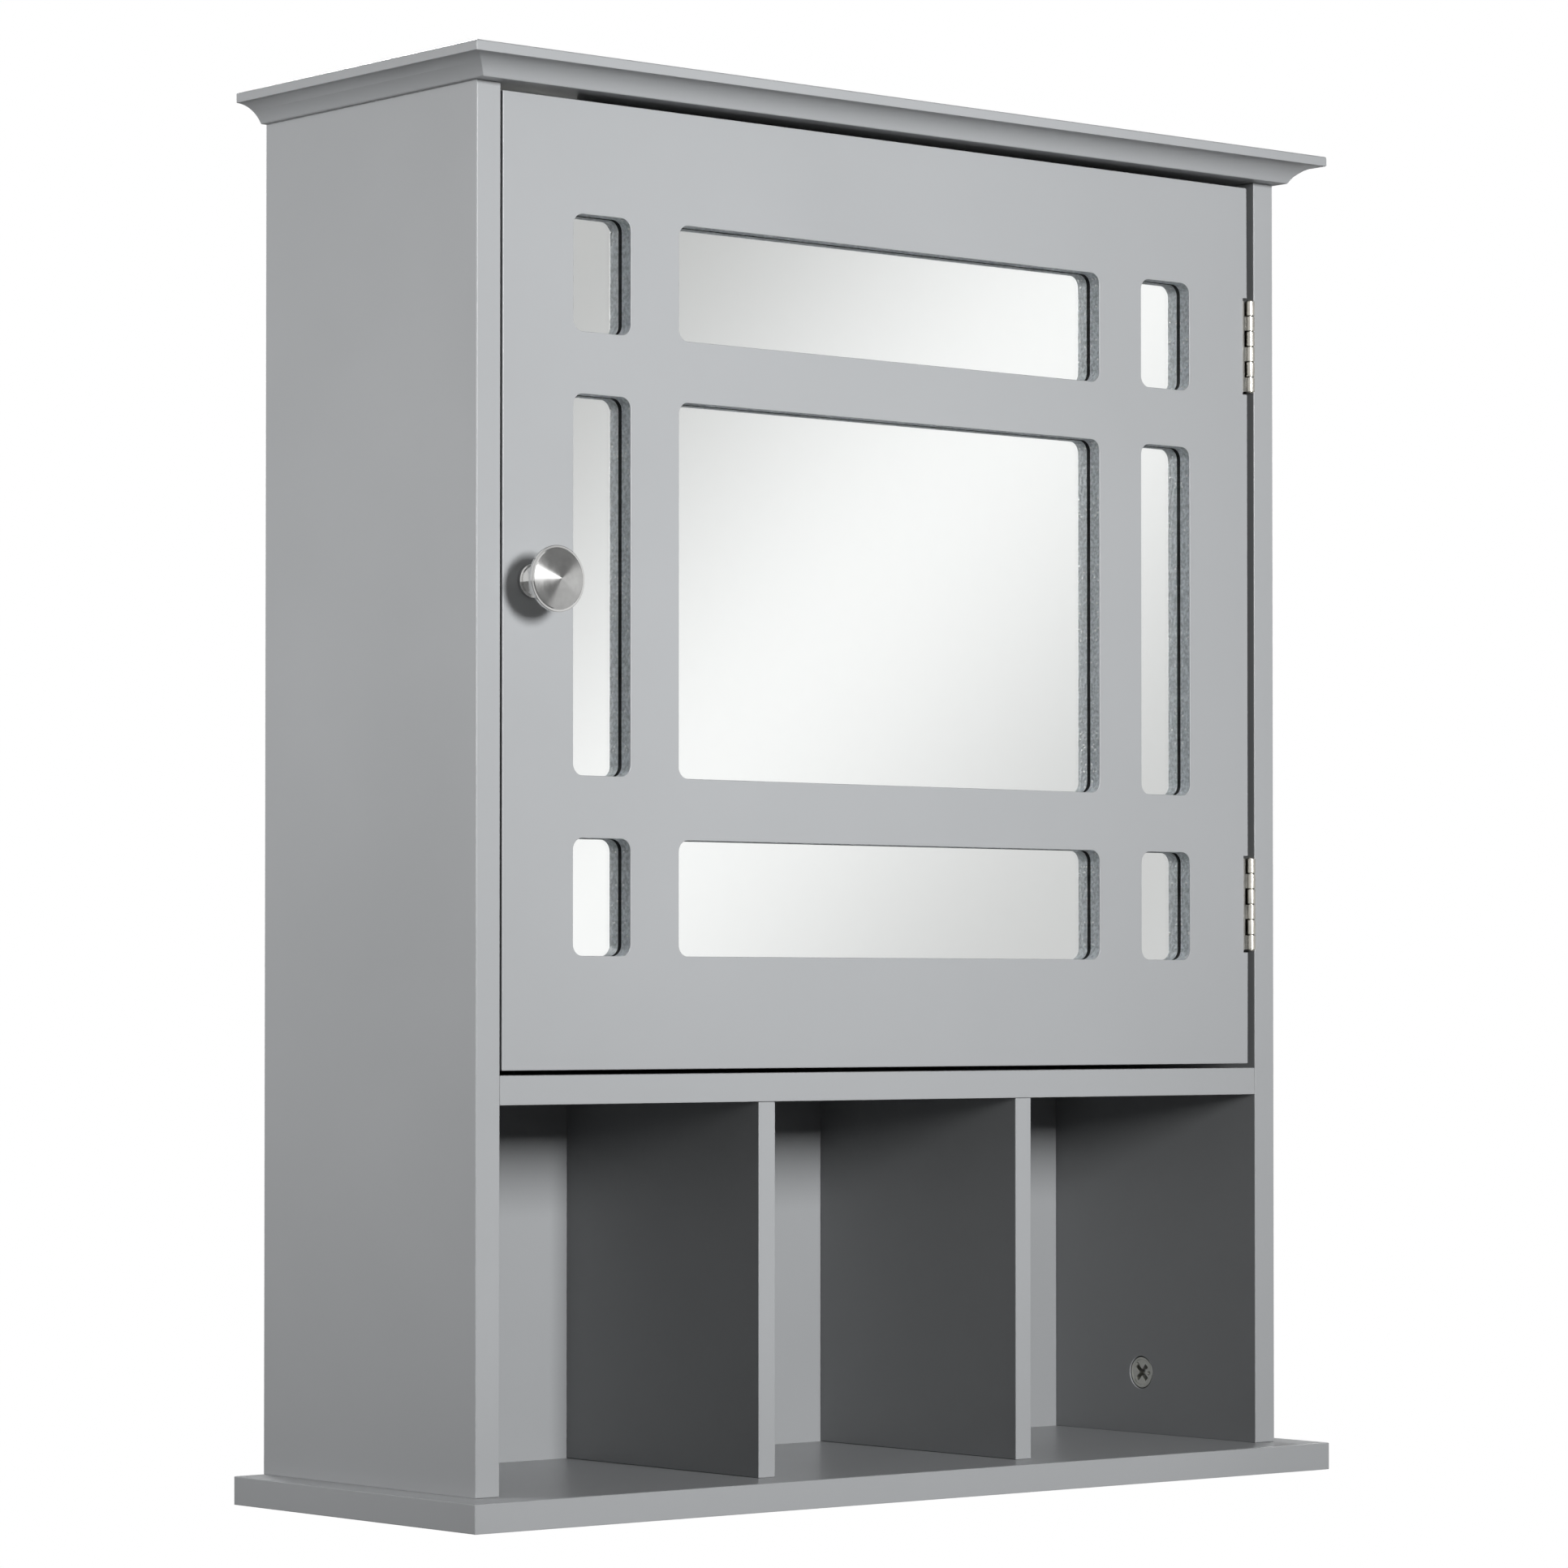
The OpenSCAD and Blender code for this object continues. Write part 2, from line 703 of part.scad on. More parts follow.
// The leaf on the side panel, in a frame on the hinge axis
module cabinet_leaf(z) {
    knuckle_l = knuckle_pitch - knuckle_gap;
    inner = side_in - leaf_t - hinge_x;
    outer = side_in - hinge_x;
    color(STEEL) difference() {
        translate([hinge_x, hinge_y, z]) difference() {
            union() {
                knuckle_row(1) cylinder(d = barrel_d, h = knuckle_l);
                block([inner, 0, -hinge_l / 2], [outer, leaf_w, hinge_l / 2]);
            }
            knuckle_row(0) translate([0, 0, -knuckle_gap])
                cylinder(r = outer + rotating_gap, h = knuckle_pitch + knuckle_gap);
            hinge_bore();
        }
        at_cabinet_leaf_screws()
            countersunk_hole(hinge_screw_d, hinge_screw_l, hinge_screw_head_d, hinge_screw_head_h);
    }
}

// The leaf in the door's notch, with a web from each knuckle to the plate
module door_leaf(z) {
    knuckle_l = knuckle_pitch - knuckle_gap;
    outer = notch_x - hinge_x;
    color(STEEL) difference() {
        translate([hinge_x, hinge_y, z]) difference() {
            union() {
                knuckle_row(0) {
                    cylinder(d = barrel_d, h = knuckle_l);
                    block([outer, 0, 0], [0, leaf_t, knuckle_l]);
                }
                block([outer, 0, -hinge_l / 2], [outer + leaf_t, leaf_w, hinge_l / 2]);
            }
            hinge_bore();
        }
        at_door_leaf_screws()
            countersunk_hole(hinge_screw_d, hinge_screw_l, hinge_screw_head_d, hinge_screw_head_h);
    }
}

module hinge_pin(z) {
    color(STEEL)
        translate([hinge_x, hinge_y, z]) {
            cylinder(d = hinge_pin_d, h = hinge_l, center = true);
            for (end = [0, 180])
                rotate([end, 0, 0]) translate([0, 0, hinge_l / 2])
                    cylinder(d1 = hinge_pin_head_d, d2 = hinge_pin_head_d - 0.6, h = hinge_pin_head_h);
        }
}

module at_cabinet_leaf_screws() {
    for (z = hinge_zs, end = [-1, 1])
        translate([side_in - leaf_t, leaf_screw_y, z + end * leaf_screw_z])
            rotate([0, -90, 0]) children();
}

module at_door_leaf_screws() {
    for (z = hinge_zs, end = [-1, 1])
        translate([notch_x + leaf_t, leaf_screw_y, z + end * leaf_screw_z])
            rotate([0, 90, 0]) children();
}

module hinge_screw() {
    countersunk_screw(hinge_screw_d, hinge_screw_l, hinge_screw_head_d, hinge_screw_head_h);
}

module upper_hinge_cabinet_leaf() { cabinet_leaf(hinge_zs[1]); }
module upper_hinge_door_leaf() { door_leaf(hinge_zs[1]); }
module upper_hinge_pin() { hinge_pin(hinge_zs[1]); }
module lower_hinge_cabinet_leaf() { cabinet_leaf(hinge_zs[0]); }
module lower_hinge_door_leaf() { door_leaf(hinge_zs[0]); }
module lower_hinge_pin() { hinge_pin(hinge_zs[0]); }
module hinge_cabinet_screws() { color(STEEL) at_cabinet_leaf_screws() hinge_screw(); }
module hinge_door_screws() { color(STEEL) at_door_leaf_screws() hinge_screw(); }

// ---- magnetic catch ----

module at_catch_screws() {
    for (end = [-1, 1])
        translate([catch_mid_x + end * (catch_body_w + catch_w) / 4, catch_front_y + catch_d / 2,
                ceiling_z - catch_ear_t])
            rotate([180, 0, 0]) children();
}

module at_strike_screws() {
    for (end = [-1, 1])
        translate([catch_mid_x + end * strike_screw_x, door_back_y + strike_t, strike_z])
            rotate([-90, 0, 0]) children();
}

module catch_housing() {
    half = catch_body_w / 2;
    slot_h = catch_pole_gap + 2 * catch_pole_t + 2 * slip_fit;
    color("white") difference() {
        union() {
            block([catch_mid_x - half, catch_front_y, ceiling_z - catch_h],
                [catch_mid_x + half, catch_front_y + catch_d, ceiling_z]);
            block([catch_mid_x - catch_w / 2, catch_front_y, ceiling_z - catch_ear_t],
                [catch_mid_x + catch_w / 2, catch_front_y + catch_d, ceiling_z]);
        }
        block([catch_mid_x - half + catch_wall - slip_fit, catch_front_y - cut, strike_z - slot_h / 2],
            [catch_mid_x + half - catch_wall + slip_fit, catch_front_y + catch_d - catch_wall,
                strike_z + slot_h / 2]);
        at_catch_screws() screw_shank_hole(catch_screw_d, catch_screw_l);
    }
}

module catch_pole_plates() {
    color(STEEL)
        for (end = [-1, 1])
            translate([catch_mid_x, 0, strike_z + end * (catch_pole_gap + catch_pole_t) / 2])
                block([-catch_pole_w / 2, catch_front_y - catch_pole_proud, -catch_pole_t / 2],
                    [catch_pole_w / 2, catch_front_y + catch_d - catch_wall - blind_gap, catch_pole_t / 2]);
}

module catch_magnet() {
    color("#3a3a3c")
        block([catch_mid_x - catch_pole_w / 2, catch_front_y + catch_magnet_recess,
                strike_z - catch_pole_gap / 2],
            [catch_mid_x + catch_pole_w / 2, catch_front_y + catch_d - catch_wall - blind_gap,
                strike_z + catch_pole_gap / 2]);
}

module catch_screws() {
    color(STEEL)
        at_catch_screws() pan_screw(catch_screw_d, catch_screw_l, catch_screw_head_d, catch_screw_head_h);
}

module strike_plate() {
    color(STEEL) difference() {
        block([catch_mid_x - strike_w / 2, door_back_y, strike_z - strike_h / 2],
            [catch_mid_x + strike_w / 2, door_back_y + strike_t, strike_z + strike_h / 2]);
        at_strike_screws()
            countersunk_hole(catch_screw_d, strike_screw_l, strike_screw_head_d, strike_screw_head_h);
    }
}

module strike_screws() {
    color(STEEL)
        at_strike_screws()
            countersunk_screw(catch_screw_d, strike_screw_l, strike_screw_head_d, strike_screw_head_h);
}

// ---- grouped fasteners ----

module cam_locks() {
    color(ZINC) {
        at_side_cams() cam_lock();
        at_shelf_cams() cam_lock();
    }
}

module cam_bolts() {
    color(STEEL) {
        at_side_cams() cam_bolt();
        at_shelf_cams() cam_bolt();
    }
}

module carcass_dowels() {
    color(PINE) {
        at_side_dowels() dowel(dowel_d);
        at_shelf_dowels() dowel(dowel_d);
    }
}

module divider_dowels() { color(PINE) at_divider_dowels() dowel(divider_dowel_d); }
module rail_dowels() { color(PINE) at_rail_dowels() dowel(dowel_d); }

module divider_screws() {
    color(STEEL)
        at_divider_screws() countersunk_screw(divider_screw_d, divider_screw_l,
            divider_screw_head_d, divider_screw_head_h);
}

top_board();
bottom_board();
side_panel_left();
side_panel_right();
fixed_shelf();
divider_left();
divider_right();
back_panel();
hanging_rail();
lower_rail();
adjustable_shelf();
shelf_pins();
door_frame();
mirror_glass();  // mirror
mirror_backing();
backing_screws();
upper_hinge_cabinet_leaf();
upper_hinge_door_leaf();
upper_hinge_pin();
lower_hinge_cabinet_leaf();
lower_hinge_door_leaf();
lower_hinge_pin();
hinge_cabinet_screws();
hinge_door_screws();
knob();
knob_screw();
catch_housing();
catch_magnet();
catch_pole_plates();
catch_screws();
strike_plate();
strike_screws();
cam_locks();
cam_bolts();
carcass_dowels();
divider_dowels();
rail_dowels();
divider_screws();
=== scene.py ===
"""Hanging wall cabinet: a mirror door over three open cubbies, dressed and lit.

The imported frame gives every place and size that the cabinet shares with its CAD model. The
classes below shape and finish the pieces that show, and the studio lights them.
"""

import logging
import math
from contextlib import contextmanager
from dataclasses import dataclass, field
from enum import Enum
from typing import Callable, Iterator, Sequence

import bmesh
import bpy
from mathutils import Matrix, Vector

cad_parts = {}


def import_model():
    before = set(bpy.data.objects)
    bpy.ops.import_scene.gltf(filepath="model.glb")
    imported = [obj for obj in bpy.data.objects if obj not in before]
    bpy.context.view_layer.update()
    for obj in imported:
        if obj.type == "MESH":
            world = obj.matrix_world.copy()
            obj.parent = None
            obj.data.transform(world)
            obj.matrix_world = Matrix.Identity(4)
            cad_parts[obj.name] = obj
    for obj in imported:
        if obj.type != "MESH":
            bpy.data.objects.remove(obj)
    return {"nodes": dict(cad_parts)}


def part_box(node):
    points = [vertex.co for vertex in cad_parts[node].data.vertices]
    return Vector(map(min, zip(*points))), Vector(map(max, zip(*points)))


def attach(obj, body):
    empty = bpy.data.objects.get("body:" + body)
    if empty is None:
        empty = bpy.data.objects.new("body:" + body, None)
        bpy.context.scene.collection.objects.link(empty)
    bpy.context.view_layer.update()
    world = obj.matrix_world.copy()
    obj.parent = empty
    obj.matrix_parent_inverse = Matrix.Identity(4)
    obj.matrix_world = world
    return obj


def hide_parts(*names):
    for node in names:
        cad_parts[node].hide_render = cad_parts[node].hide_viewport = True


LOG = logging.getLogger("wall_cabinet")
MM = 0.001
WELD = 1e-6

Colour = tuple[float, float, float]
Nodes = dict[str, bpy.types.Object]
EdgeTest = Callable[[bmesh.types.BMEdge], bool]
FaceTest = Callable[[bmesh.types.BMFace], bool]


class Body(Enum):
    """The CAD bodies that pieces ride on."""

    CABINET = "cabinet"
    DOOR = "door"
    SHELF = "shelf"


class Slot(Enum):
    """The record's material slots."""

    PAINTED_BOARD = "painted_board"
    MIRROR_GLASS = "mirror_glass"
    HARDBOARD = "hardboard"
    NICKEL = "nickel"
    SATIN_NICKEL = "satin_nickel"
    ZINC_PLATE = "zinc_plate"
    CAST_ZINC = "cast_zinc"
    BEECH = "beech"
    WHITE_PLASTIC = "white_plastic"
    MAGNET_FERRITE = "magnet_ferrite"


class Facing(Enum):
    """The way that a fastener's head or a cam lock's face looks."""

    LEFT = (-1.0, 0.0, 0.0)
    RIGHT = (1.0, 0.0, 0.0)
    WALL = (0.0, 1.0, 0.0)
    DOWN = (0.0, 0.0, -1.0)

    def turn(self) -> Matrix:
        """The turn that takes a piece's own +Z to this way."""
        return Vector(self.value).to_track_quat("Z", "Y").to_matrix().to_4x4()


class Head(Enum):
    """The two kinds of screw head."""

    COUNTERSUNK = "countersunk"
    PAN = "pan"


# ---- measuring the frame ----


@dataclass(frozen=True)
class Box:
    """The space that a node or one of its solids fills."""

    low: Vector
    high: Vector

    @classmethod
    def of(cls, node: str) -> "Box":
        """The box of a whole CAD node."""
        return cls(*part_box(node))

    @property
    def centre(self) -> Vector:
        """The middle of the box."""
        return (self.low + self.high) / 2

    @property
    def size(self) -> Vector:
        """The box's extent along each axis."""
        return self.high - self.low

    def sides_met(self, point: Vector) -> int:
        """Counts the axes along which a point lies on the box's surface.

        Args:
            point: The point to test.

        Returns:
            How many axes it meets: 2 on an edge of the box, 3 on a corner.
        """
        near = 0.02 * MM
        return sum(
            min(abs(point[i] - self.low[i]), abs(point[i] - self.high[i])) < near for i in range(3)
        )

    def end(self, facing: Facing) -> Vector:
        """Finds the middle of one face.

        Args:
            facing: The way that the face looks.

        Returns:
            The middle of that face.
        """
        way = Vector(facing.value)
        return self.centre + Vector(abs(w) * s for w, s in zip(way, self.size)) * sum(way) / 2


def solids(node: bpy.types.Object) -> list[Box]:
    """Finds the separate solids in a CAD node.

    Args:
        node: The node's object.

    Returns:
        The box of each solid, from left to right, front to back and bottom to top.
    """
    mesh = bmesh.new()
    mesh.from_mesh(node.data)
    bmesh.ops.remove_doubles(mesh, verts=mesh.verts, dist=WELD)
    left = set(mesh.verts)
    boxes = []
    while left:
        grown = [left.pop()]
        for vert in grown:
            for edge in vert.link_edges:
                other = edge.other_vert(vert)
                if other in left:
                    left.remove(other)
                    grown.append(other)
        places = [v.co for v in grown]
        low = Vector(min(p[i] for p in places) for i in range(3))
        high = Vector(max(p[i] for p in places) for i in range(3))
        boxes.append(Box(low, high))
    mesh.free()
    return sorted(boxes, key=lambda b: tuple(round(c, 4) for c in b.centre))


# ---- the bench: shaping pieces by hand ----


def pick_only(*objs: bpy.types.Object) -> None:
    """Selects these objects alone and makes the first one active.

    Args:
        objs: The objects to select.
    """
    bpy.ops.object.select_all(action="DESELECT")
    for obj in objs:
        obj.select_set(True)
    bpy.context.view_layer.objects.active = objs[0]


def put_in_scene(name: str, data: bpy.types.ID) -> bpy.types.Object:
    """Makes an object from its data and links it to the scene.

    Args:
        name: The object's name.
        data: Its mesh, light or camera.

    Returns:
        The object.
    """
    obj = bpy.data.objects.new(name, data)
    bpy.context.scene.collection.objects.link(obj)
    return obj


class Piece:
    """A mesh on the bench, shaped with operators and finished with modifiers."""

    def __init__(self, obj: bpy.types.Object) -> None:
        """Takes hold of an object that is already in the scene."""
        self.obj = obj

    @classmethod
    def _primitive(cls, name: str) -> "Piece":
        """Names the primitive just added and lays its place into its mesh."""
        obj = bpy.context.active_object
        obj.name = obj.data.name = name
        bpy.ops.object.transform_apply(location=True, rotation=True, scale=True)
        return cls(obj)

    @classmethod
    def block(cls, name: str, low: Sequence[float], high: Sequence[float]) -> "Piece":
        """Adds a block between two opposite corners.

        Args:
            name: The piece's name.
            low: The lowest corner.
            high: The highest corner.

        Returns:
            The new piece.
        """
        bpy.ops.object.select_all(action="DESELECT")
        low, high = Vector(low), Vector(high)
        bpy.ops.mesh.primitive_cube_add(size=1, location=(low + high) / 2, scale=high - low)
        return cls._primitive(name)

    @classmethod
    def turned(cls, name: str, outline: Sequence[tuple[float, float]], sides: int = 64) -> "Piece":
        """Turns a solid about Z, as on a lathe, from its lowest ring to its highest.

        Args:
            name: The piece's name.
            outline: Radius and height of each ring, from the bottom up.
            sides: How many sides each ring has.

        Returns:
            The new piece, with its axis on the origin.
        """
        bpy.ops.object.select_all(action="DESELECT")
        radius, height = outline[0]
        bpy.ops.mesh.primitive_circle_add(
            vertices=sides, radius=radius, fill_type="NGON", location=(0, 0, height)
        )
        piece = cls._primitive(name)
        with piece.editing():
            bpy.ops.mesh.select_all(action="SELECT")
            for next_radius, next_height in outline[1:]:
                piece.draw_out(
                    (0, 0, next_height - height), (next_radius / radius,) * 2, (0, 0, next_height)
                )
                radius, height = next_radius, next_height
        piece.face_outwards()
        return piece

    @classmethod
    def cast(cls, node: bpy.types.Object, name: str) -> "Piece":
        """Copies a CAD node, welds its loose triangles and clears the lines across its flats.

        Args:
            node: The CAD node's object, which stays as it is.
            name: The new piece's name.

        Returns:
            The new piece.
        """
        obj = put_in_scene(name, node.data.copy())
        obj.data.name = name
        obj.data.materials.clear()
        piece = cls(obj)
        with piece.editing():
            bpy.ops.mesh.select_all(action="SELECT")
            bpy.ops.mesh.remove_doubles(threshold=WELD)
            bpy.ops.mesh.dissolve_limited(angle_limit=math.radians(0.3))
        return piece

    @contextmanager
    def editing(self) -> Iterator[bmesh.types.BMesh]:
        """Opens the piece in edit mode with nothing selected.

        Yields:
            The mesh being edited.
        """
        pick_only(self.obj)
        bpy.ops.object.mode_set(mode="EDIT")
        bpy.ops.mesh.select_mode(type="FACE")
        bpy.ops.mesh.select_all(action="DESELECT")
        yield bmesh.from_edit_mesh(self.obj.data)
        bpy.ops.object.mode_set(mode="OBJECT")

    def pick_faces(self, mesh: bmesh.types.BMesh, test: FaceTest) -> None:
        """Selects, in edit mode, the faces that pass a test.

        Args:
            mesh: The mesh being edited.
            test: Says whether a face is selected.
        """
        for face in mesh.faces:
            face.select_set(test(face))
        bmesh.update_edit_mesh(self.obj.data)

    def draw_out(
        self, move: Sequence[float], scale: Sequence[float], centre: Sequence[float]
    ) -> None:
        """Extrudes the selected face and scales its far end, in edit mode.

        Args:
            move: How far the new end moves.
            scale: Its scale along X and Y.
            centre: The point that it is scaled about.
        """
        bpy.ops.mesh.extrude_region_move(TRANSFORM_OT_translate={"value": move})
        bpy.ops.transform.resize(value=(*scale, 1), center_override=centre)

    def face_outwards(self) -> None:
        """Turns all the faces outwards."""
        with self.editing():
            bpy.ops.mesh.select_all(action="SELECT")
            bpy.ops.mesh.normals_make_consistent(inside=False)

    def round_edges(self, test: EdgeTest, width: float, segments: int = 3) -> "Piece":
        """Rounds the edges that pass a test.

        Args:
            test: Says whether an edge is to be rounded.
            width: How far the rounding reaches from the edge.
            segments: How many facets it has.

        Returns:
            The same piece.
        """
        with self.editing() as mesh:
            bpy.ops.mesh.select_mode(type="EDGE")
            found = [edge for edge in mesh.edges if test(edge)]
            for edge in found:
                edge.select_set(True)
            bmesh.update_edit_mesh(self.obj.data)
            if found:
                bpy.ops.mesh.bevel(offset=width, segments=segments, profile=0.5, affect="EDGES")
        return self

    def ease(self, box: Box, width: float, segments: int = 3) -> "Piece":
        """Rounds the outer edges of a board.

        Args:
            box: The board's box.
            width: How far the rounding reaches from the edge.
            segments: How many facets it has.

        Returns:
            The same piece.
        """
        return self.round_edges(lambda e: box.sides_met(middle(e)) >= 2, width, segments)

    def _apply(self, modifier: bpy.types.Modifier) -> None:
        """Applies a modifier."""
        pick_only(self.obj)
        bpy.ops.object.modifier_apply(modifier=modifier.name)

    def cut(self, *tools: "Piece") -> "Piece":
        """Cuts tools out of the piece and throws them away.

        Args:
            tools: The pieces to cut with.

        Returns:
            The same piece.
        """
        for tool in tools:
            modifier = self.obj.modifiers.new("cut", "BOOLEAN")
            modifier.operation = "DIFFERENCE"
            modifier.solver = "EXACT"
            modifier.object = tool.obj
            self._apply(modifier)
            bpy.data.objects.remove(tool.obj)
        return self

    def smooth(self, degrees: float = 40) -> "Piece":
        """Shades the piece smooth, with its flats kept flat.

        Args:
            degrees: The angle past which an edge stays sharp.

        Returns:
            The same piece.
        """
        pick_only(self.obj)
        bpy.ops.object.shade_smooth_by_angle(angle=math.radians(degrees))
        modifier = self.obj.modifiers.new("flats", "WEIGHTED_NORMAL")
        modifier.keep_sharp = True
        self._apply(modifier)
        return self

    def copy_to(self, name: str, place: Matrix) -> "Piece":
        """Copies the piece, with its own mesh, to another place.

        Args:
            name: The copy's name.
            place: Where it goes.

        Returns:
            The copy, with its place in its mesh.
        """
        obj = put_in_scene(name, self.obj.data.copy())
        obj.matrix_world = place
        pick_only(obj)
        bpy.ops.object.transform_apply(location=True, rotation=True, scale=True)
        return Piece(obj)

    def turn(self, degrees: float, out: float = 0.0) -> "Piece":
        """Moves the piece out along X, then turns it about Z.

        Args:
            degrees: The turn.
            out: How far it moves out first.

        Returns:
            The same piece.
        """
        with self.editing():
            bpy.ops.mesh.select_all(action="SELECT")
            bpy.ops.transform.translate(value=(out, 0, 0))
            bpy.ops.transform.rotate(
                value=-math.radians(degrees), orient_axis="Z", center_override=(0, 0, 0)
            )
        return self

    def paint_faces(self, finish: "Finish", test: FaceTest) -> None:
        """Gives a second finish to some faces.

        Args:
            finish: The finish.
            test: Says whether a face takes it.
        """
        self.obj.data.materials.append(finish.material())
        with self.editing() as mesh:
            for face in mesh.faces:
                if test(face):
                    face.material_index = len(self.obj.data.materials) - 1
            bmesh.update_edit_mesh(self.obj.data)

    def dress(self, finish: "Finish | ClearGlass", body: Body, replaced: str) -> "Piece":
        """Gives the piece its finish and its body, and hides the CAD node that it stands for.

        Args:
            finish: The finish of all its faces.
            body: The body that it rides on.
            replaced: The CAD node that it stands for.

        Returns:
            The same piece.
        """
        self.obj.data.materials.clear()
        self.obj.data.materials.append(finish.material())
        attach(self.obj, body.value)
        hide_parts(replaced)
        LOG.info("%s: %d faces, on the %s", self.obj.name, len(self.obj.data.polygons), body.value)
        return self


def middle(edge: bmesh.types.BMEdge) -> Vector:
    """The middle of an edge."""
    return (edge.verts[0].co + edge.verts[1].co) / 2


def is_corner(edge: bmesh.types.BMEdge, degrees: float = 50) -> bool:
    """Tells whether an edge is a convex corner.

    Args:
        edge: The edge.
        degrees: The least angle between its faces' normals.

    Returns:
        True for a convex corner at least that sharp.
    """
    return edge.is_manifold and edge.calc_face_angle_signed(0) > math.radians(degrees)


def arc(
    centre: tuple[float, float], radius: float, start: float, end: float, steps: int
) -> list[tuple[float, float]]:
    """Lays points along an arc.

    Args:
        centre: The arc's centre.
        radius: Its radius.
        start: Its first angle in degrees.
        end: Its last angle in degrees.
        steps: How many steps it has.

    Returns:
        The points, both ends included.
    """
    turns = [math.radians(start + (end - start) * i / steps) for i in range(steps + 1)]
    return [(centre[0] + radius * math.cos(t), centre[1] + radius * math.sin(t)) for t in turns]


# ---- shader graphs ----


class Graph:
    """Lays out the nodes of a material or of a shader group."""

    def __init__(self, tree: bpy.types.NodeTree) -> None:
        """Starts on an existing node tree."""
        self.tree = tree

    def add(self, kind: str, inputs: dict | None = None, **settings: object) -> bpy.types.Node:
        """Adds a node.

        Args:
            kind: The node's type, without the ShaderNode prefix.
            inputs: Values or sockets for its inputs, by name or number.
            settings: Values for its properties.

        Returns:
            The node.
        """
        node = self.tree.nodes.new("ShaderNode" + kind)
        for key, value in settings.items():
            setattr(node, key, value)
        for key, value in (inputs or {}).items():
            if isinstance(value, bpy.types.NodeSocket):
                self.tree.links.new(value, node.inputs[key])
            else:
                node.inputs[key].default_value = value
        return node

    def math(self, operation: str, *values: object) -> bpy.types.NodeSocket:
        """Adds a Math node.

        Args:
            operation: What it does.
            values: Its operands, as numbers or sockets.

        Returns:
            Its result.
        """
        return self.add("Math", dict(enumerate(values)), operation=operation).outputs[0]

    def spread(
        self, value: bpy.types.NodeSocket, low: object, high: object, start: float, end: float
    ) -> bpy.types.NodeSocket:
        """Maps a value from one range onto another.

        Args:
            value: The value.
            low: What the start of its range becomes.
            high: What the end of its range becomes.
            start: The start of its range.
            end: The end of its range.

        Returns:
            The mapped value, kept between low and high.
        """
        inputs = {
            "Value": value, "From Min": start, "From Max": end, "To Min": low, "To Max": high
        }
        return self.add("MapRange", inputs).outputs["Result"]

    def soft_step(
        self, value: bpy.types.NodeSocket, start: float, end: float
    ) -> bpy.types.NodeSocket:
        """Rises smoothly from 0 to 1.

        Args:
            value: The value.
            start: Where it is still 0.
            end: Where it is 1, which may lie below the start.

        Returns:
            The smooth step.
        """
        low, high = (0.0, 1.0) if start < end else (1.0, 0.0)
        inputs = {
            "Value": value, "From Min": min(start, end), "From Max": max(start, end),
            "To Min": low, "To Max": high,
        }
        return self.add("MapRange", inputs, interpolation_type="SMOOTHSTEP").outputs["Result"]

    def window(
        self, angle: bpy.types.NodeSocket, low: float, high: float, soft: float
    ) -> bpy.types.NodeSocket:
        """Is 1 between two angles and fades to 0 outside them.

        Args:
            angle: The angle in radians.
            low: The lower angle in degrees.
            high: The higher angle in degrees.
            soft: How many degrees the fading takes.

        Returns:
            The window.
        """
        rising = self.soft_step(angle, math.radians(low - soft), math.radians(low))
        falling = self.soft_step(angle, math.radians(high + soft), math.radians(high))
        return self.math("MULTIPLY", rising, falling)

    def azimuth(self, part: bpy.types.NodeOutputs) -> bpy.types.NodeSocket:
        """Finds how far a place or a direction is turned from the front.

        Args:
            part: Its X, Y and Z.

        Returns:
            The angle in radians, positive to the right.
        """
        return self.math("ARCTAN2", part["X"], self.math("MULTIPLY", part["Y"], -1.0))

    def blend(
        self, factor: bpy.types.NodeSocket, first: object, second: object
    ) -> bpy.types.NodeSocket:
        """Mixes two numbers.

        Args:
            factor: How much of the second number there is.
            first: The first number.
            second: The second number.

        Returns:
            The mixed number.
        """
        return self.add("Mix", {0: factor, 2: first, 3: second}, data_type="FLOAT").outputs[0]

    def tint(
        self, factor: bpy.types.NodeSocket, first: object, second: object
    ) -> bpy.types.NodeSocket:
        """Mixes two colours.

        Args:
            factor: How much of the second colour there is.
            first: The first colour.
            second: The second colour.

        Returns:
            The mixed colour.
        """
        node = self.add("Mix", {0: factor, 6: first, 7: second}, data_type="RGBA")
        return node.outputs[2]

    def noise(
        self, vector: bpy.types.NodeSocket, scale: object, detail: float
    ) -> bpy.types.NodeSocket:
        """Adds a noise pattern.

        Args:
            vector: The coordinates.
            scale: How fine it is.
            detail: How many finer layers it has.

        Returns:
            The pattern's value.
        """
        inputs = {"Vector": vector, "Scale": scale, "Detail": detail}
        return self.add("TexNoise", inputs).outputs["Fac"]


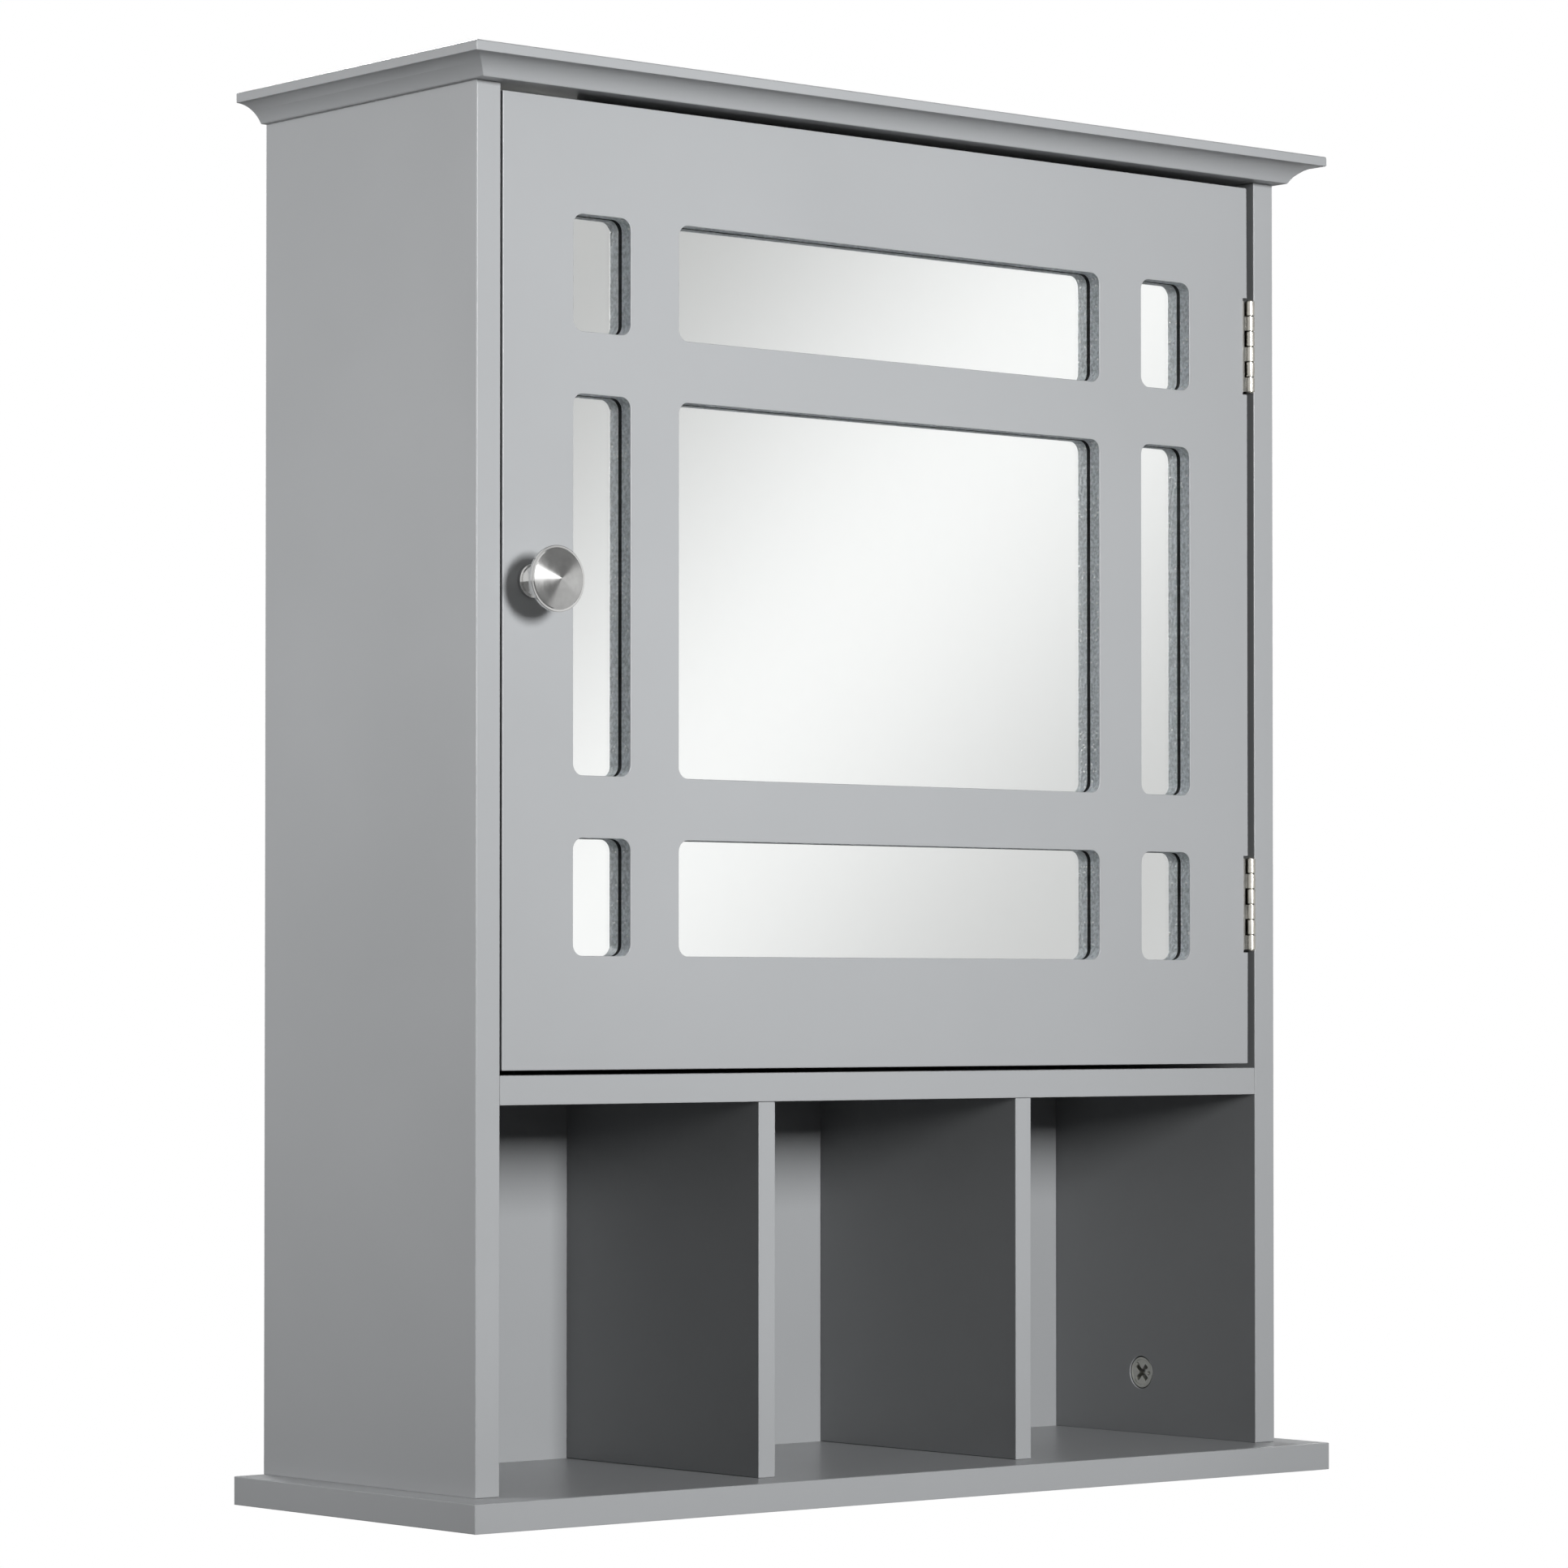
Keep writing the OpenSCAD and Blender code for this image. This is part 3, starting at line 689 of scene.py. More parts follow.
def shader_group(
    name: str,
    inputs: dict[str, float | Colour],
    lay: Callable[[Graph, bpy.types.NodeOutputs, bpy.types.NodeSocket], tuple],
) -> bpy.types.NodeTree:
    """Makes a shader group that puts out a colour, a roughness and a height, once.

    Args:
        name: The group's name.
        inputs: Its inputs, each with its default value.
        lay: Lays its nodes from the graph, the group's inputs and Object coordinates, and
            returns the three outputs.

    Returns:
        The group.
    """
    if name in bpy.data.node_groups:
        return bpy.data.node_groups[name]
    tree = bpy.data.node_groups.new(name, "ShaderNodeTree")
    for key, value in inputs.items():
        kind = "NodeSocketFloat" if isinstance(value, float) else "NodeSocketColor"
        socket = tree.interface.new_socket(key, in_out="INPUT", socket_type=kind)
        socket.default_value = value if isinstance(value, float) else (*value, 1.0)
    for key, kind in (("Colour", "Color"), ("Roughness", "Float"), ("Height", "Float")):
        tree.interface.new_socket(key, in_out="OUTPUT", socket_type="NodeSocket" + kind)
    graph = Graph(tree)
    start = tree.nodes.new("NodeGroupInput")
    end = tree.nodes.new("NodeGroupOutput")
    place = graph.add("TexCoord").outputs["Object"]
    for key, value in zip(("Colour", "Roughness", "Height"), lay(graph, start.outputs, place)):
        tree.links.new(value, end.inputs[key])
    return tree


def paint_film() -> bpy.types.NodeTree:
    """Sprayed paint: faint clouds in its colour and a fine orange-peel skin."""

    def lay(graph: Graph, given: bpy.types.NodeOutputs, place: bpy.types.NodeSocket) -> tuple:
        clouds = graph.noise(place, 7.0, 4.0)
        peel = graph.noise(place, given["Peel"], 1.0)
        grain = graph.noise(place, 2600.0, 1.0)
        light = graph.tint(graph.spread(clouds, 0.0, 1.0, 0.3, 0.7), given["Dark"], given["Light"])
        rough = graph.spread(clouds, given["Smooth"], given["Rough"], 0.3, 0.7)
        height = graph.math("ADD", peel, graph.math("MULTIPLY", grain, 0.25))
        return light, rough, height

    values = {"Dark": (0.4,) * 3, "Light": (0.5,) * 3, "Smooth": 0.3, "Rough": 0.4, "Peel": 650.0}
    return shader_group("paint film", values, lay)


def routed_edge() -> bpy.types.NodeTree:
    """Routed fibreboard under thin paint: a coarse grey skin, with white specks painted in as glints."""

    def lay(graph: Graph, given: bpy.types.NodeOutputs, place: bpy.types.NodeSocket) -> tuple:
        coarse = graph.noise(place, given["Grain"], 6.0)
        cells = graph.add("TexVoronoi", {"Vector": place, "Scale": given["Specks"]})
        chance = graph.add("TexWhiteNoise", {"Vector": cells.outputs["Position"]}).outputs["Value"]
        few = graph.math("GREATER_THAN", chance, 0.82)
        glint_dots = graph.math("MULTIPLY", graph.spread(cells.outputs["Distance"], 1.0, 0.0, 0.1, 0.45), few)
        mottled = graph.tint(graph.spread(coarse, 0.0, 1.0, 0.35, 0.65), given["Dark"], given["Light"])
        # The white speck colour is a painted highlight; the specks' lower roughness and relief are real.
        colour = graph.tint(glint_dots, mottled, given["Speck"])
        rough = graph.spread(glint_dots, 0.55, 0.22, 0.0, 1.0)
        height = graph.math("ADD", coarse, glint_dots)
        return colour, rough, height

    values = {
        "Dark": (0.2,) * 3, "Light": (0.4,) * 3, "Speck": (0.9,) * 3, "Grain": 900.0, "Specks": 1500.0
    }
    return shader_group("routed edge", values, lay)


def worked_metal() -> bpy.types.NodeTree:
    """Plated metal: a cloudy polish with fine scratches along its own length."""

    def lay(graph: Graph, given: bpy.types.NodeOutputs, place: bpy.types.NodeSocket) -> tuple:
        drawn = graph.add("Mapping", {"Vector": place, "Scale": (3000.0, 3000.0, 140.0)})
        lines = graph.noise(drawn.outputs["Vector"], 1.0, 2.0)
        clouds = graph.noise(place, 160.0, 3.0)
        worn = graph.math("ADD", graph.math("MULTIPLY", lines, 0.5), graph.math("MULTIPLY", clouds, 0.5))
        colour = graph.tint(graph.spread(clouds, 0.0, 1.0, 0.3, 0.7), given["Dark"], given["Light"])
        rough = graph.spread(worn, given["Smooth"], given["Rough"], 0.3, 0.7)
        return colour, rough, graph.math("ADD", lines, clouds)

    values = {"Dark": (0.6,) * 3, "Light": (0.7,) * 3, "Smooth": 0.15, "Rough": 0.3}
    return shader_group("worked metal", values, lay)


def pressed_fibre() -> bpy.types.NodeTree:
    """Fibreboard, hardboard and wood: short fibres stretched along one axis."""

    def lay(graph: Graph, given: bpy.types.NodeOutputs, place: bpy.types.NodeSocket) -> tuple:
        across = graph.math("MULTIPLY", given["Fineness"], given["Stretch"])
        scale = graph.add("CombineXYZ", {"X": given["Fineness"], "Y": across, "Z": across})
        drawn = graph.add("VectorMath", {0: place, 1: scale.outputs[0]}, operation="MULTIPLY")
        fibres = graph.noise(drawn.outputs[0], 1.0, 5.0)
        blots = graph.noise(place, 35.0, 3.0)
        share = graph.math("ADD", graph.math("MULTIPLY", fibres, 0.7), graph.math("MULTIPLY", blots, 0.3))
        colour = graph.tint(graph.spread(share, 0.0, 1.0, 0.36, 0.62), given["Dark"], given["Light"])
        return colour, graph.spread(fibres, 0.55, 0.8, 0.3, 0.7), fibres

    values = {"Dark": (0.2,) * 3, "Light": (0.5,) * 3, "Fineness": 400.0, "Stretch": 1.0}
    return shader_group("pressed fibre", values, lay)


# ---- finishes ----


@dataclass(frozen=True)
class Finish:
    """A finish whose colour, roughness and relief come from one shader group."""

    name: str
    group: Callable[[], bpy.types.NodeTree]
    values: dict[str, float | Colour]
    slot: Slot | None = None
    metallic: float = 0.0
    specular: float = 0.5
    relief: float = 0.1
    depth: float = 0.05 * MM
    bounce: float = 1.0

    def material(self) -> bpy.types.Material:
        """Makes the finish's material, or finds it if it is made already.

        Returns:
            The material.
        """
        if self.name in bpy.data.materials:
            return bpy.data.materials[self.name]
        material = bpy.data.materials.new(self.name)
        material.use_nodes = True
        graph = Graph(material.node_tree)
        group = graph.add("Group", node_tree=self.group())
        for key, value in self.values.items():
            group.inputs[key].default_value = value if isinstance(value, float) else (*value, 1.0)
        bump = graph.add("Bump", {
            "Strength": self.relief, "Distance": self.depth, "Height": group.outputs["Height"]
        })
        shader = material.node_tree.nodes["Principled BSDF"]
        shader.inputs["Metallic"].default_value = self.metallic
        shader.inputs["Specular IOR Level"].default_value = self.specular
        link = material.node_tree.links.new
        colour = group.outputs["Colour"]
        if self.bounce < 1:
            softened = graph.add("LightPath").outputs["Is Diffuse Ray"]
            share = graph.blend(softened, 1.0, self.bounce)
            scaled = graph.add("VectorMath", {0: colour, "Scale": share}, operation="SCALE")
            colour = scaled.outputs[0]
        link(colour, shader.inputs["Base Color"])
        link(group.outputs["Roughness"], shader.inputs["Roughness"])
        link(bump.outputs["Normal"], shader.inputs["Normal"])
        return material


@dataclass(frozen=True)
class ClearGlass:
    """Float glass with a faint green body."""

    name: str = "float glass"
    slot: Slot = Slot.MIRROR_GLASS
    colour: Colour = (0.97, 0.985, 0.98)
    roughness: float = 0.0

    def material(self) -> bpy.types.Material:
        """Makes the glass's material, or finds it if it is made already.

        Returns:
            The material.
        """
        if self.name in bpy.data.materials:
            return bpy.data.materials[self.name]
        material = bpy.data.materials.new(self.name)
        material.use_nodes = True
        graph = Graph(material.node_tree)
        shader = material.node_tree.nodes["Principled BSDF"]
        shader.inputs["Transmission Weight"].default_value = 1.0
        shader.inputs["IOR"].default_value = 1.52
        place = graph.add("TexCoord").outputs["Object"]
        haze = graph.noise(place, 12.0, 3.0)
        clear = (*self.colour, 1.0)
        thin = (*(c * 0.99 for c in self.colour), 1.0)
        colour = graph.tint(haze, clear, thin)
        material.node_tree.links.new(colour, shader.inputs["Base Color"])
        shader.inputs["Roughness"].default_value = self.roughness
        return material


PAINT = Finish(
    "grey satin paint",
    paint_film,
    {
        "Dark": (0.352, 0.362, 0.372), "Light": (0.368, 0.378, 0.389),
        "Smooth": 0.30, "Rough": 0.36, "Peel": 650.0,
    },
    slot=Slot.PAINTED_BOARD,
    relief=0.12,
    depth=0.04 * MM,
    bounce=0.45,
)
# Routed fibreboard under paint, coloured far paler than the board paint: painted light for what the
# mirror throws on the walls.
ROUTED_PAINTED_LIGHT = Finish(
    "pale routed edge with painted light",
    routed_edge,
    {
        "Dark": (0.42, 0.46, 0.49), "Light": (0.74, 0.79, 0.83), "Speck": (1.0, 1.0, 1.0),
        "Grain": 700.0, "Specks": 620.0,
    },
    relief=1.0,
    depth=0.5 * MM,
)
RAW_BOARD = Finish(
    "bare fibreboard",
    pressed_fibre,
    {"Dark": (0.30, 0.20, 0.12), "Light": (0.46, 0.33, 0.21), "Fineness": 900.0, "Stretch": 1.0},
    relief=0.2,
)
HARDBOARD = Finish(
    "pressed hardboard",
    pressed_fibre,
    {"Dark": (0.17, 0.095, 0.05), "Light": (0.30, 0.18, 0.10), "Fineness": 700.0, "Stretch": 1.6},
    slot=Slot.HARDBOARD,
    relief=0.25,
)
BEECH = Finish(
    "beech",
    pressed_fibre,
    {"Dark": (0.50, 0.33, 0.18), "Light": (0.70, 0.51, 0.32), "Fineness": 120.0, "Stretch": 14.0},
    slot=Slot.BEECH,
    relief=0.2,
)
NICKEL = Finish(
    "bright nickel",
    worked_metal,
    {"Dark": (0.54, 0.52, 0.47), "Light": (0.66, 0.64, 0.58), "Smooth": 0.24, "Rough": 0.36},
    slot=Slot.NICKEL,
    metallic=1.0,
    relief=0.06,
    depth=0.02 * MM,
)
SATIN_NICKEL = Finish(
    "satin nickel",
    worked_metal,
    {"Dark": (0.64, 0.64, 0.63), "Light": (0.74, 0.74, 0.73), "Smooth": 0.11, "Rough": 0.17},
    slot=Slot.SATIN_NICKEL,
    metallic=1.0,
    relief=0.04,
    depth=0.02 * MM,
)
ZINC_PLATE = Finish(
    "zinc plate",
    worked_metal,
    {"Dark": (0.55, 0.56, 0.57), "Light": (0.70, 0.71, 0.73), "Smooth": 0.22, "Rough": 0.38},
    slot=Slot.ZINC_PLATE,
    metallic=1.0,
    relief=0.08,
    depth=0.02 * MM,
)
CAST_ZINC = Finish(
    "cast zinc",
    worked_metal,
    {"Dark": (0.50, 0.50, 0.46), "Light": (0.66, 0.66, 0.61), "Smooth": 0.26, "Rough": 0.42},
    slot=Slot.CAST_ZINC,
    metallic=0.75,
    relief=0.2,
)
PLASTIC = Finish(
    "white moulded plastic",
    paint_film,
    {
        "Dark": (0.74, 0.74, 0.72), "Light": (0.80, 0.80, 0.78), "Smooth": 0.35, "Rough": 0.45,
        "Peel": 900.0,
    },
    slot=Slot.WHITE_PLASTIC,
    relief=0.08,
)
FERRITE = Finish(
    "ferrite",
    paint_film,
    {
        "Dark": (0.03, 0.03, 0.032), "Light": (0.06, 0.06, 0.063), "Smooth": 0.5, "Rough": 0.7,
        "Peel": 1500.0,
    },
    slot=Slot.MAGNET_FERRITE,
    relief=0.3,
)
# Dark dull steel for the leaves' front edges behind the barrel: painted shade where those edges lie in
# shadow.
LEAF_EDGE_PAINTED_SHADE = Finish(
    "dull sheared steel",
    worked_metal,
    {"Dark": (0.10, 0.10, 0.095), "Light": (0.17, 0.17, 0.16), "Smooth": 0.45, "Rough": 0.6},
    metallic=0.6,
    relief=0.15,
)
# Near-black coat for the rebate face behind the glass: painted shade where that face lies in shadow.
REBATE_PAINTED_SHADE = Finish(
    "dark mirror mastic",
    paint_film,
    {
        "Dark": (0.012, 0.012, 0.013), "Light": (0.02, 0.02, 0.021), "Smooth": 0.6, "Rough": 0.8,
        "Peel": 500.0,
    },
    relief=0.2,
)
SILVER = Finish(
    "mirror silver",
    worked_metal,
    {"Dark": (0.945, 0.945, 0.94), "Light": (0.95, 0.95, 0.945), "Smooth": 0.0, "Rough": 0.004},
    slot=Slot.MIRROR_GLASS,
    metallic=1.0,
    relief=0.0,
)
GLASS = ClearGlass()


def plate(node: bpy.types.Object, finish: Finish) -> None:
    """Gives a CAD node that stays as it is its finish.

    Args:
        node: The CAD node's object.
        finish: The finish.
    """
    for slot in node.material_slots:
        slot.link = "OBJECT"
        slot.material = finish.material()
    LOG.info("%s: kept from the frame, in %s", node.name, finish.name)


# ---- fasteners ----


@dataclass
class Screws:
    """One node's screws: one is turned and cut, and the others are its copies."""

    node: bpy.types.Object
    body: Body
    facing: Facing
    shank_d: float
    head_h: float
    head: Head = Head.COUNTERSUNK
    finish: Finish = ZINC_PLATE
    sides: int = 32
    recess_share: float = 0.56
    slot_share: float = 0.13

    def outline(self, length: float, head_r: float) -> list[tuple[float, float]]:
        """Draws the screw from its point up, with the head's seat or face at zero.

        Args:
            length: The shank's length below zero.
            head_r: The head's radius.

        Returns:
            Radius and height of each ring.
        """
        shank = self.shank_d / 2
        tip = 1.5 * self.shank_d
        low = [(shank / 6, -length), (shank * 0.62, tip * 0.45 - length), (shank, tip - length)]
        if self.head is Head.COUNTERSUNK:
            lip = 0.12 * self.head_h
            return low + [
                (shank, -self.head_h), (head_r, -lip - 0.05 * MM), (head_r, -0.04 * MM),
                (head_r - 0.04 * MM, 0),
            ]
        rise = self.head_h
        dome = [
            (head_r * math.cos(t), rise * (0.35 + 0.65 * math.sin(t)))
            for t in (math.radians(15 * i) for i in range(6))
        ]
        return low + [(shank, 0), (head_r, 0)] + dome

    def build(self) -> list[Piece]:
        """Makes every screw of the node.

        Returns:
            The screws.
        """
        places = solids(self.node)
        along = [abs(c) for c in self.facing.value].index(1.0)
        size = places[0].size
        head_r = max(size[i] for i in range(3) if i != along) / 2
        proud = self.head_h if self.head is Head.PAN else 0.0
        master = Piece.turned("screw", self.outline(size[along] - proud, head_r), self.sides)
        reach = head_r * self.recess_share
        width = max(head_r * self.slot_share, 0.25 * MM)
        depth = 0.6 * self.head_h
        for long_axis in (0, 1):
            low = [-reach, -reach, proud - depth]
            high = [reach, reach, proud + MM]
            low[1 - long_axis], high[1 - long_axis] = -width, width
            master.cut(Piece.block("cross", low, high))
        master.round_edges(
            lambda e: is_corner(e, 60) and middle(e).z > proud - 0.3 * MM, 0.05 * MM, 1
        )
        master.smooth(35)
        made = []
        for number, box in enumerate(places, 1):
            seat = box.end(self.facing) - Vector(self.facing.value) * proud
            place = Matrix.Translation(seat) @ self.facing.turn()
            copy = master.copy_to(f"{self.node.name.removesuffix('s')}_{number}", place)
            made.append(copy.dress(self.finish, self.body, self.node.name))
        bpy.data.objects.remove(master.obj)
        return made


@dataclass
class CamLocks:
    """The cam locks: cast discs with a cross recess, two dimples and a turning mark."""

    node: bpy.types.Object
    recess_l: float = 9.4 * MM
    recess_w: float = 2.3 * MM
    recess_h: float = 3.6 * MM
    dimple_r: float = 1.0 * MM
    dimple_out: float = 4.6 * MM
    dimples: tuple[float, ...] = (127.0, -3.0)
    mark_r: float = 5.6 * MM
    mark_start: float = -70.0

    def disc(self, radius: float, height: float) -> Piece:
        """Makes one lock with its face at zero height.

        Args:
            radius: The lock's radius.
            height: Its height.

        Returns:
            The lock.
        """
        lip = 0.35 * MM
        rings = [
            (radius - lip, -height), (radius, lip - height), (radius, -lip), (radius - lip, 0.0),
            (radius - 3 * lip, 0.0), (radius - 3.6 * lip, -0.18 * MM), (0.4 * MM, -0.18 * MM),
        ]
        lock = Piece.turned("cam_lock", rings, 72)
        half, width = self.recess_l / 2, self.recess_w / 2
        for angle in (45, 135):
            tool = Piece.block("cross", (-half, -width, -self.recess_h), (half, width, MM))
            with tool.editing() as mesh:
                tool.pick_faces(mesh, lambda f: f.normal.z < -0.9)
                bpy.ops.transform.resize(value=(0.8, 0.8, 1), center_override=(0, 0, 0))
            lock.cut(tool.turn(angle))
        for angle in self.dimples:
            rings = [(0.05 * MM, -0.9 * MM), (self.dimple_r, -0.15 * MM), (self.dimple_r, MM)]
            dimple = Piece.turned("dimple", rings, 24)
            lock.cut(dimple.turn(angle, self.dimple_out))
        lock.cut(self.arrow().turn(self.mark_start))
        return lock

    def arrow(self, steps: int = 9, turn: float = 8.0) -> Piece:
        """Makes the tool for the curved turning mark, which ends in a wider head.

        Args:
            steps: How many segments the curve has.
            turn: How far each one turns, in degrees.

        Returns:
            The tool.
        """
        width, depth = 0.5 * MM, 0.34 * MM
        low = (self.mark_r - width / 2, -0.4 * MM, -depth)
        tool = Piece.block("mark_tool", low, (self.mark_r + width / 2, 0, MM))
        with tool.editing() as mesh:
            tool.pick_faces(mesh, lambda f: f.normal.y < -0.9)
            for _ in range(steps):
                bpy.ops.mesh.extrude_region_move(TRANSFORM_OT_translate={"value": (0, 0, 0)})
                bpy.ops.transform.rotate(
                    value=math.radians(turn), orient_axis="Z", center_override=(0, 0, 0)
                )
        tool.face_outwards()
        return tool

    def build(self) -> None:
        """Makes every cam lock."""
        places = solids(self.node)
        radius = sorted(places[0].size)[-1] / 2
        height = sorted(places[0].size)[0]
        for box in places:
            height = min(height, min(box.size))
        master = self.disc(radius, height)
        master.round_edges(
            lambda e: is_corner(e, 40) and middle(e).z > -0.5 * MM
            and middle(e).xy.length < radius - 3.7 * 0.35 * MM, 0.06 * MM, 1
        )
        master.smooth(30)
        shelf = Box.of("fixed_shelf")
        for number, box in enumerate(places, 1):
            in_shelf = shelf.low.z < box.centre.z < shelf.high.z
            side = Facing.LEFT if box.centre.x > 0 else Facing.RIGHT
            facing = Facing.DOWN if in_shelf else side
            place = Matrix.Translation(box.end(facing)) @ facing.turn()
            copy = master.copy_to(f"cam_lock_{number}", place)
            copy.dress(CAST_ZINC, Body.CABINET, self.node.name)
        bpy.data.objects.remove(master.obj)


# ---- sub-assemblies ----


@dataclass
class Carcass:
    """The fixed boards, the crown moulding, the rails and what joins them."""

    nodes: Nodes
    edge: float = 0.45 * MM
    rim: float = 0.3 * MM
    fillet_h: float = 4.3 * MM
    cove_run: float = 12.5 * MM
    crown_edge: float = 0.8 * MM
    cove_steps: int = 24
    boards: dict[str, str] = field(default_factory=lambda: {
        "bottom_board": "base_board",
        "side_panel_left": "left_side",
        "side_panel_right": "right_side",
        "fixed_shelf": "middle_shelf",
        "divider_left": "left_divider",
        "divider_right": "right_divider",
        "hanging_rail": "top_rail",
        "lower_rail": "bottom_rail",
        "back_panel": "back_sheet",
    })

    def crown_board(self) -> Piece:
        """Makes the top board: a fillet, then the cove drawn in along its front and two ends.

        Returns:
            The top board.
        """
        box = Box.of("top_board")
        half, depth = box.high.x, box.size.y
        drop = box.size.z - self.fillet_h
        radius = (self.cove_run**2 + drop**2) / (2 * drop)
        sweep = math.degrees(math.asin(self.cove_run / radius))
        cove = arc((0, -radius), radius, 90, 90 - sweep, self.cove_steps)
        seat = box.high.z - self.fillet_h
        board = Piece.block("crown_board", (-half, box.low.y, seat), box.high)
        with board.editing() as mesh:
            board.pick_faces(mesh, lambda f: f.normal.z < -0.9)
            for (inset, height), (next_inset, next_height) in zip(cove, cove[1:]):
                shares = (
                    (half - next_inset) / (half - inset), (depth - next_inset) / (depth - inset)
                )
                board.draw_out((0, 0, next_height - height), shares, (0, box.high.y, 0))
        near = 0.01 * MM

        def on_mitre(edge: bmesh.types.BMEdge) -> bool:
            corner = [abs((half - abs(v.co.x)) - (v.co.y - box.low.y)) < near for v in edge.verts]
            return all(corner) and abs(edge.verts[0].co.z - edge.verts[1].co.z) > near

        def ring(height: float) -> EdgeTest:
            return lambda e: (
                all(abs(v.co.z - height) < near for v in e.verts) and middle(e).y < box.high.y - near
                and is_corner(e, 25)
            )

        board.round_edges(on_mitre, 0.35 * MM, 2)
        board.round_edges(ring(box.high.z), self.crown_edge, 4)
        board.round_edges(ring(seat), 0.3 * MM, 2)
        board.round_edges(ring(box.low.z), 0.4 * MM, 3)
        self.drill(board, "carcass_dowels", "cam_bolts", "catch_screws", "back_panel")
        return board

    def drill(self, board: Piece, *fitted: str) -> None:
        """Cuts what sits in a board out of it.

        Args:
            board: The board.
            fitted: The CAD nodes that sit in it.
        """
        for node in fitted:
            board.cut(Piece.cast(self.nodes[node], "tool"))

    def board(self, node: str, name: str) -> Piece:
        """Makes a drilled board with eased edges and hole rims.

        Args:
            node: The board's CAD node.
            name: The piece's name.

        Returns:
            The board.
        """
        box = Box.of(node)
        board = Piece.cast(self.nodes[node], name)
        board.round_edges(
            lambda e: box.sides_met(middle(e)) == 1 and is_corner(e) and is_rim(e), self.rim, 2
        )
        return board.ease(box, self.edge)

    def build(self) -> None:
        """Makes the carcass."""
        crown = self.crown_board()
        crown.dress(PAINT, Body.CABINET, "top_board").smooth()
        for node, name in self.boards.items():
            piece = self.board(node, name)
            piece.dress(PAINT, Body.CABINET, node).smooth()
            if node == "back_panel":
                piece.paint_faces(RAW_BOARD, lambda f: f.normal.y > 0.5)
        CamLocks(self.nodes["cam_locks"]).build()
        Screws(
            self.nodes["divider_screws"], Body.CABINET, Facing.DOWN, 3.5 * MM, 1.8 * MM
        ).build()
        plate(self.nodes["cam_bolts"], ZINC_PLATE)
        for node in ("carcass_dowels", "divider_dowels", "rail_dowels"):
            plate(self.nodes[node], BEECH)


def is_rim(edge: bmesh.types.BMEdge) -> bool:
    """Tells whether an edge is one short facet of a round hole's rim."""
    return edge.calc_length() < 3 * MM


@dataclass
class LooseShelf:
    """The adjustable shelf and its four spoon pins."""

    nodes: Nodes
    edge: float = 0.45 * MM

    def build(self) -> None:
        """Makes the shelf and its pins."""
        box = Box.of("adjustable_shelf")
        shelf = Piece.cast(self.nodes["adjustable_shelf"], "loose_shelf").ease(box, self.edge)
        shelf.dress(PAINT, Body.SHELF, "adjustable_shelf").smooth()
        pins = Piece.cast(self.nodes["shelf_pins"], "spoon_pins")
        pins.round_edges(is_corner, 0.2 * MM, 2)
        pins.dress(NICKEL, Body.CABINET, "shelf_pins").smooth()


@dataclass
class Door:
    """The door: a routed frame, the mirror behind its nine windows, and the mirror's backing."""

    nodes: Nodes
    edge: float = 0.5 * MM
    window_edge: float = 0.35 * MM
    glass_t: float = 2.0 * MM
    bond: float = 0.02 * MM

    def frame(self) -> Piece:
        """Makes the painted frame with its routed windows.

        Returns:
            The frame.
        """
        box = Box.of("door_frame")
        mirror = Box.of("mirror")
        frame = Piece.cast(self.nodes["door_frame"], "door_panel")
        near = 0.02 * MM
        inset = 30 * MM

        def on_front(edge: bmesh.types.BMEdge) -> bool:
            flat = all(abs(v.co.y - box.low.y) < near for v in edge.verts)
            return flat and box.sides_met(middle(edge)) == 1 and is_corner(edge)

        def outer(edge: bmesh.types.BMEdge) -> bool:
            return box.sides_met(middle(edge)) >= 2 and is_corner(edge)

        frame.round_edges(on_front, self.window_edge, 3)
        frame.round_edges(outer, self.edge, 3)
        frame.dress(PAINT, Body.DOOR, "door_frame").smooth()

        def on_wall(face: bmesh.types.BMFace) -> bool:
            centre = face.calc_center_median()
            inside = (
                box.low.x + inset < centre.x < box.high.x - inset
                and box.low.z + inset < centre.z < box.high.z - inset
            )
            deep = box.low.y + self.window_edge * 0.9 < centre.y < mirror.low.y - near
            return inside and deep and abs(face.normal.y) < 0.3

        # The window walls take the pale routed finish, which carries painted light and painted glints.
        frame.paint_faces(ROUTED_PAINTED_LIGHT, on_wall)
        # The rebate face that the glass rests on is painted near black as painted shade.
        frame.paint_faces(
            REBATE_PAINTED_SHADE,
            lambda f: f.normal.y > 0.9 and abs(f.calc_center_median().y - mirror.low.y) < near,
        )
        return frame

    def mirror(self) -> None:
        """Makes the glass, with polished edges, and the silver behind it."""
        box = Box.of("mirror")
        parting = box.low.y + self.glass_t
        glass = Piece.block("mirror_glass", box.low, (box.high.x, parting, box.high.z))
        glass.round_edges(is_corner, 0.3 * MM, 2)
        glass.dress(GLASS, Body.DOOR, "mirror").smooth()
        front = (box.low.x, parting - self.bond, box.low.z)
        silver = Piece.block("mirror_silver", front, box.high)
        silver.round_edges(is_corner, 0.1 * MM, 1)
        silver.dress(SILVER, Body.DOOR, "mirror").smooth()

    def build(self) -> None:
        """Makes the door and what is screwed to it."""
        self.frame()
        self.mirror()
        box = Box.of("mirror_backing")
        backing = Piece.cast(self.nodes["mirror_backing"], "backing_sheet").ease(box, 0.3 * MM, 2)
        backing.dress(HARDBOARD, Body.DOOR, "mirror_backing").smooth()
        Screws(
            self.nodes["backing_screws"], Body.DOOR, Facing.WALL, 2.5 * MM, 1.0 * MM, finish=NICKEL
        ).build()


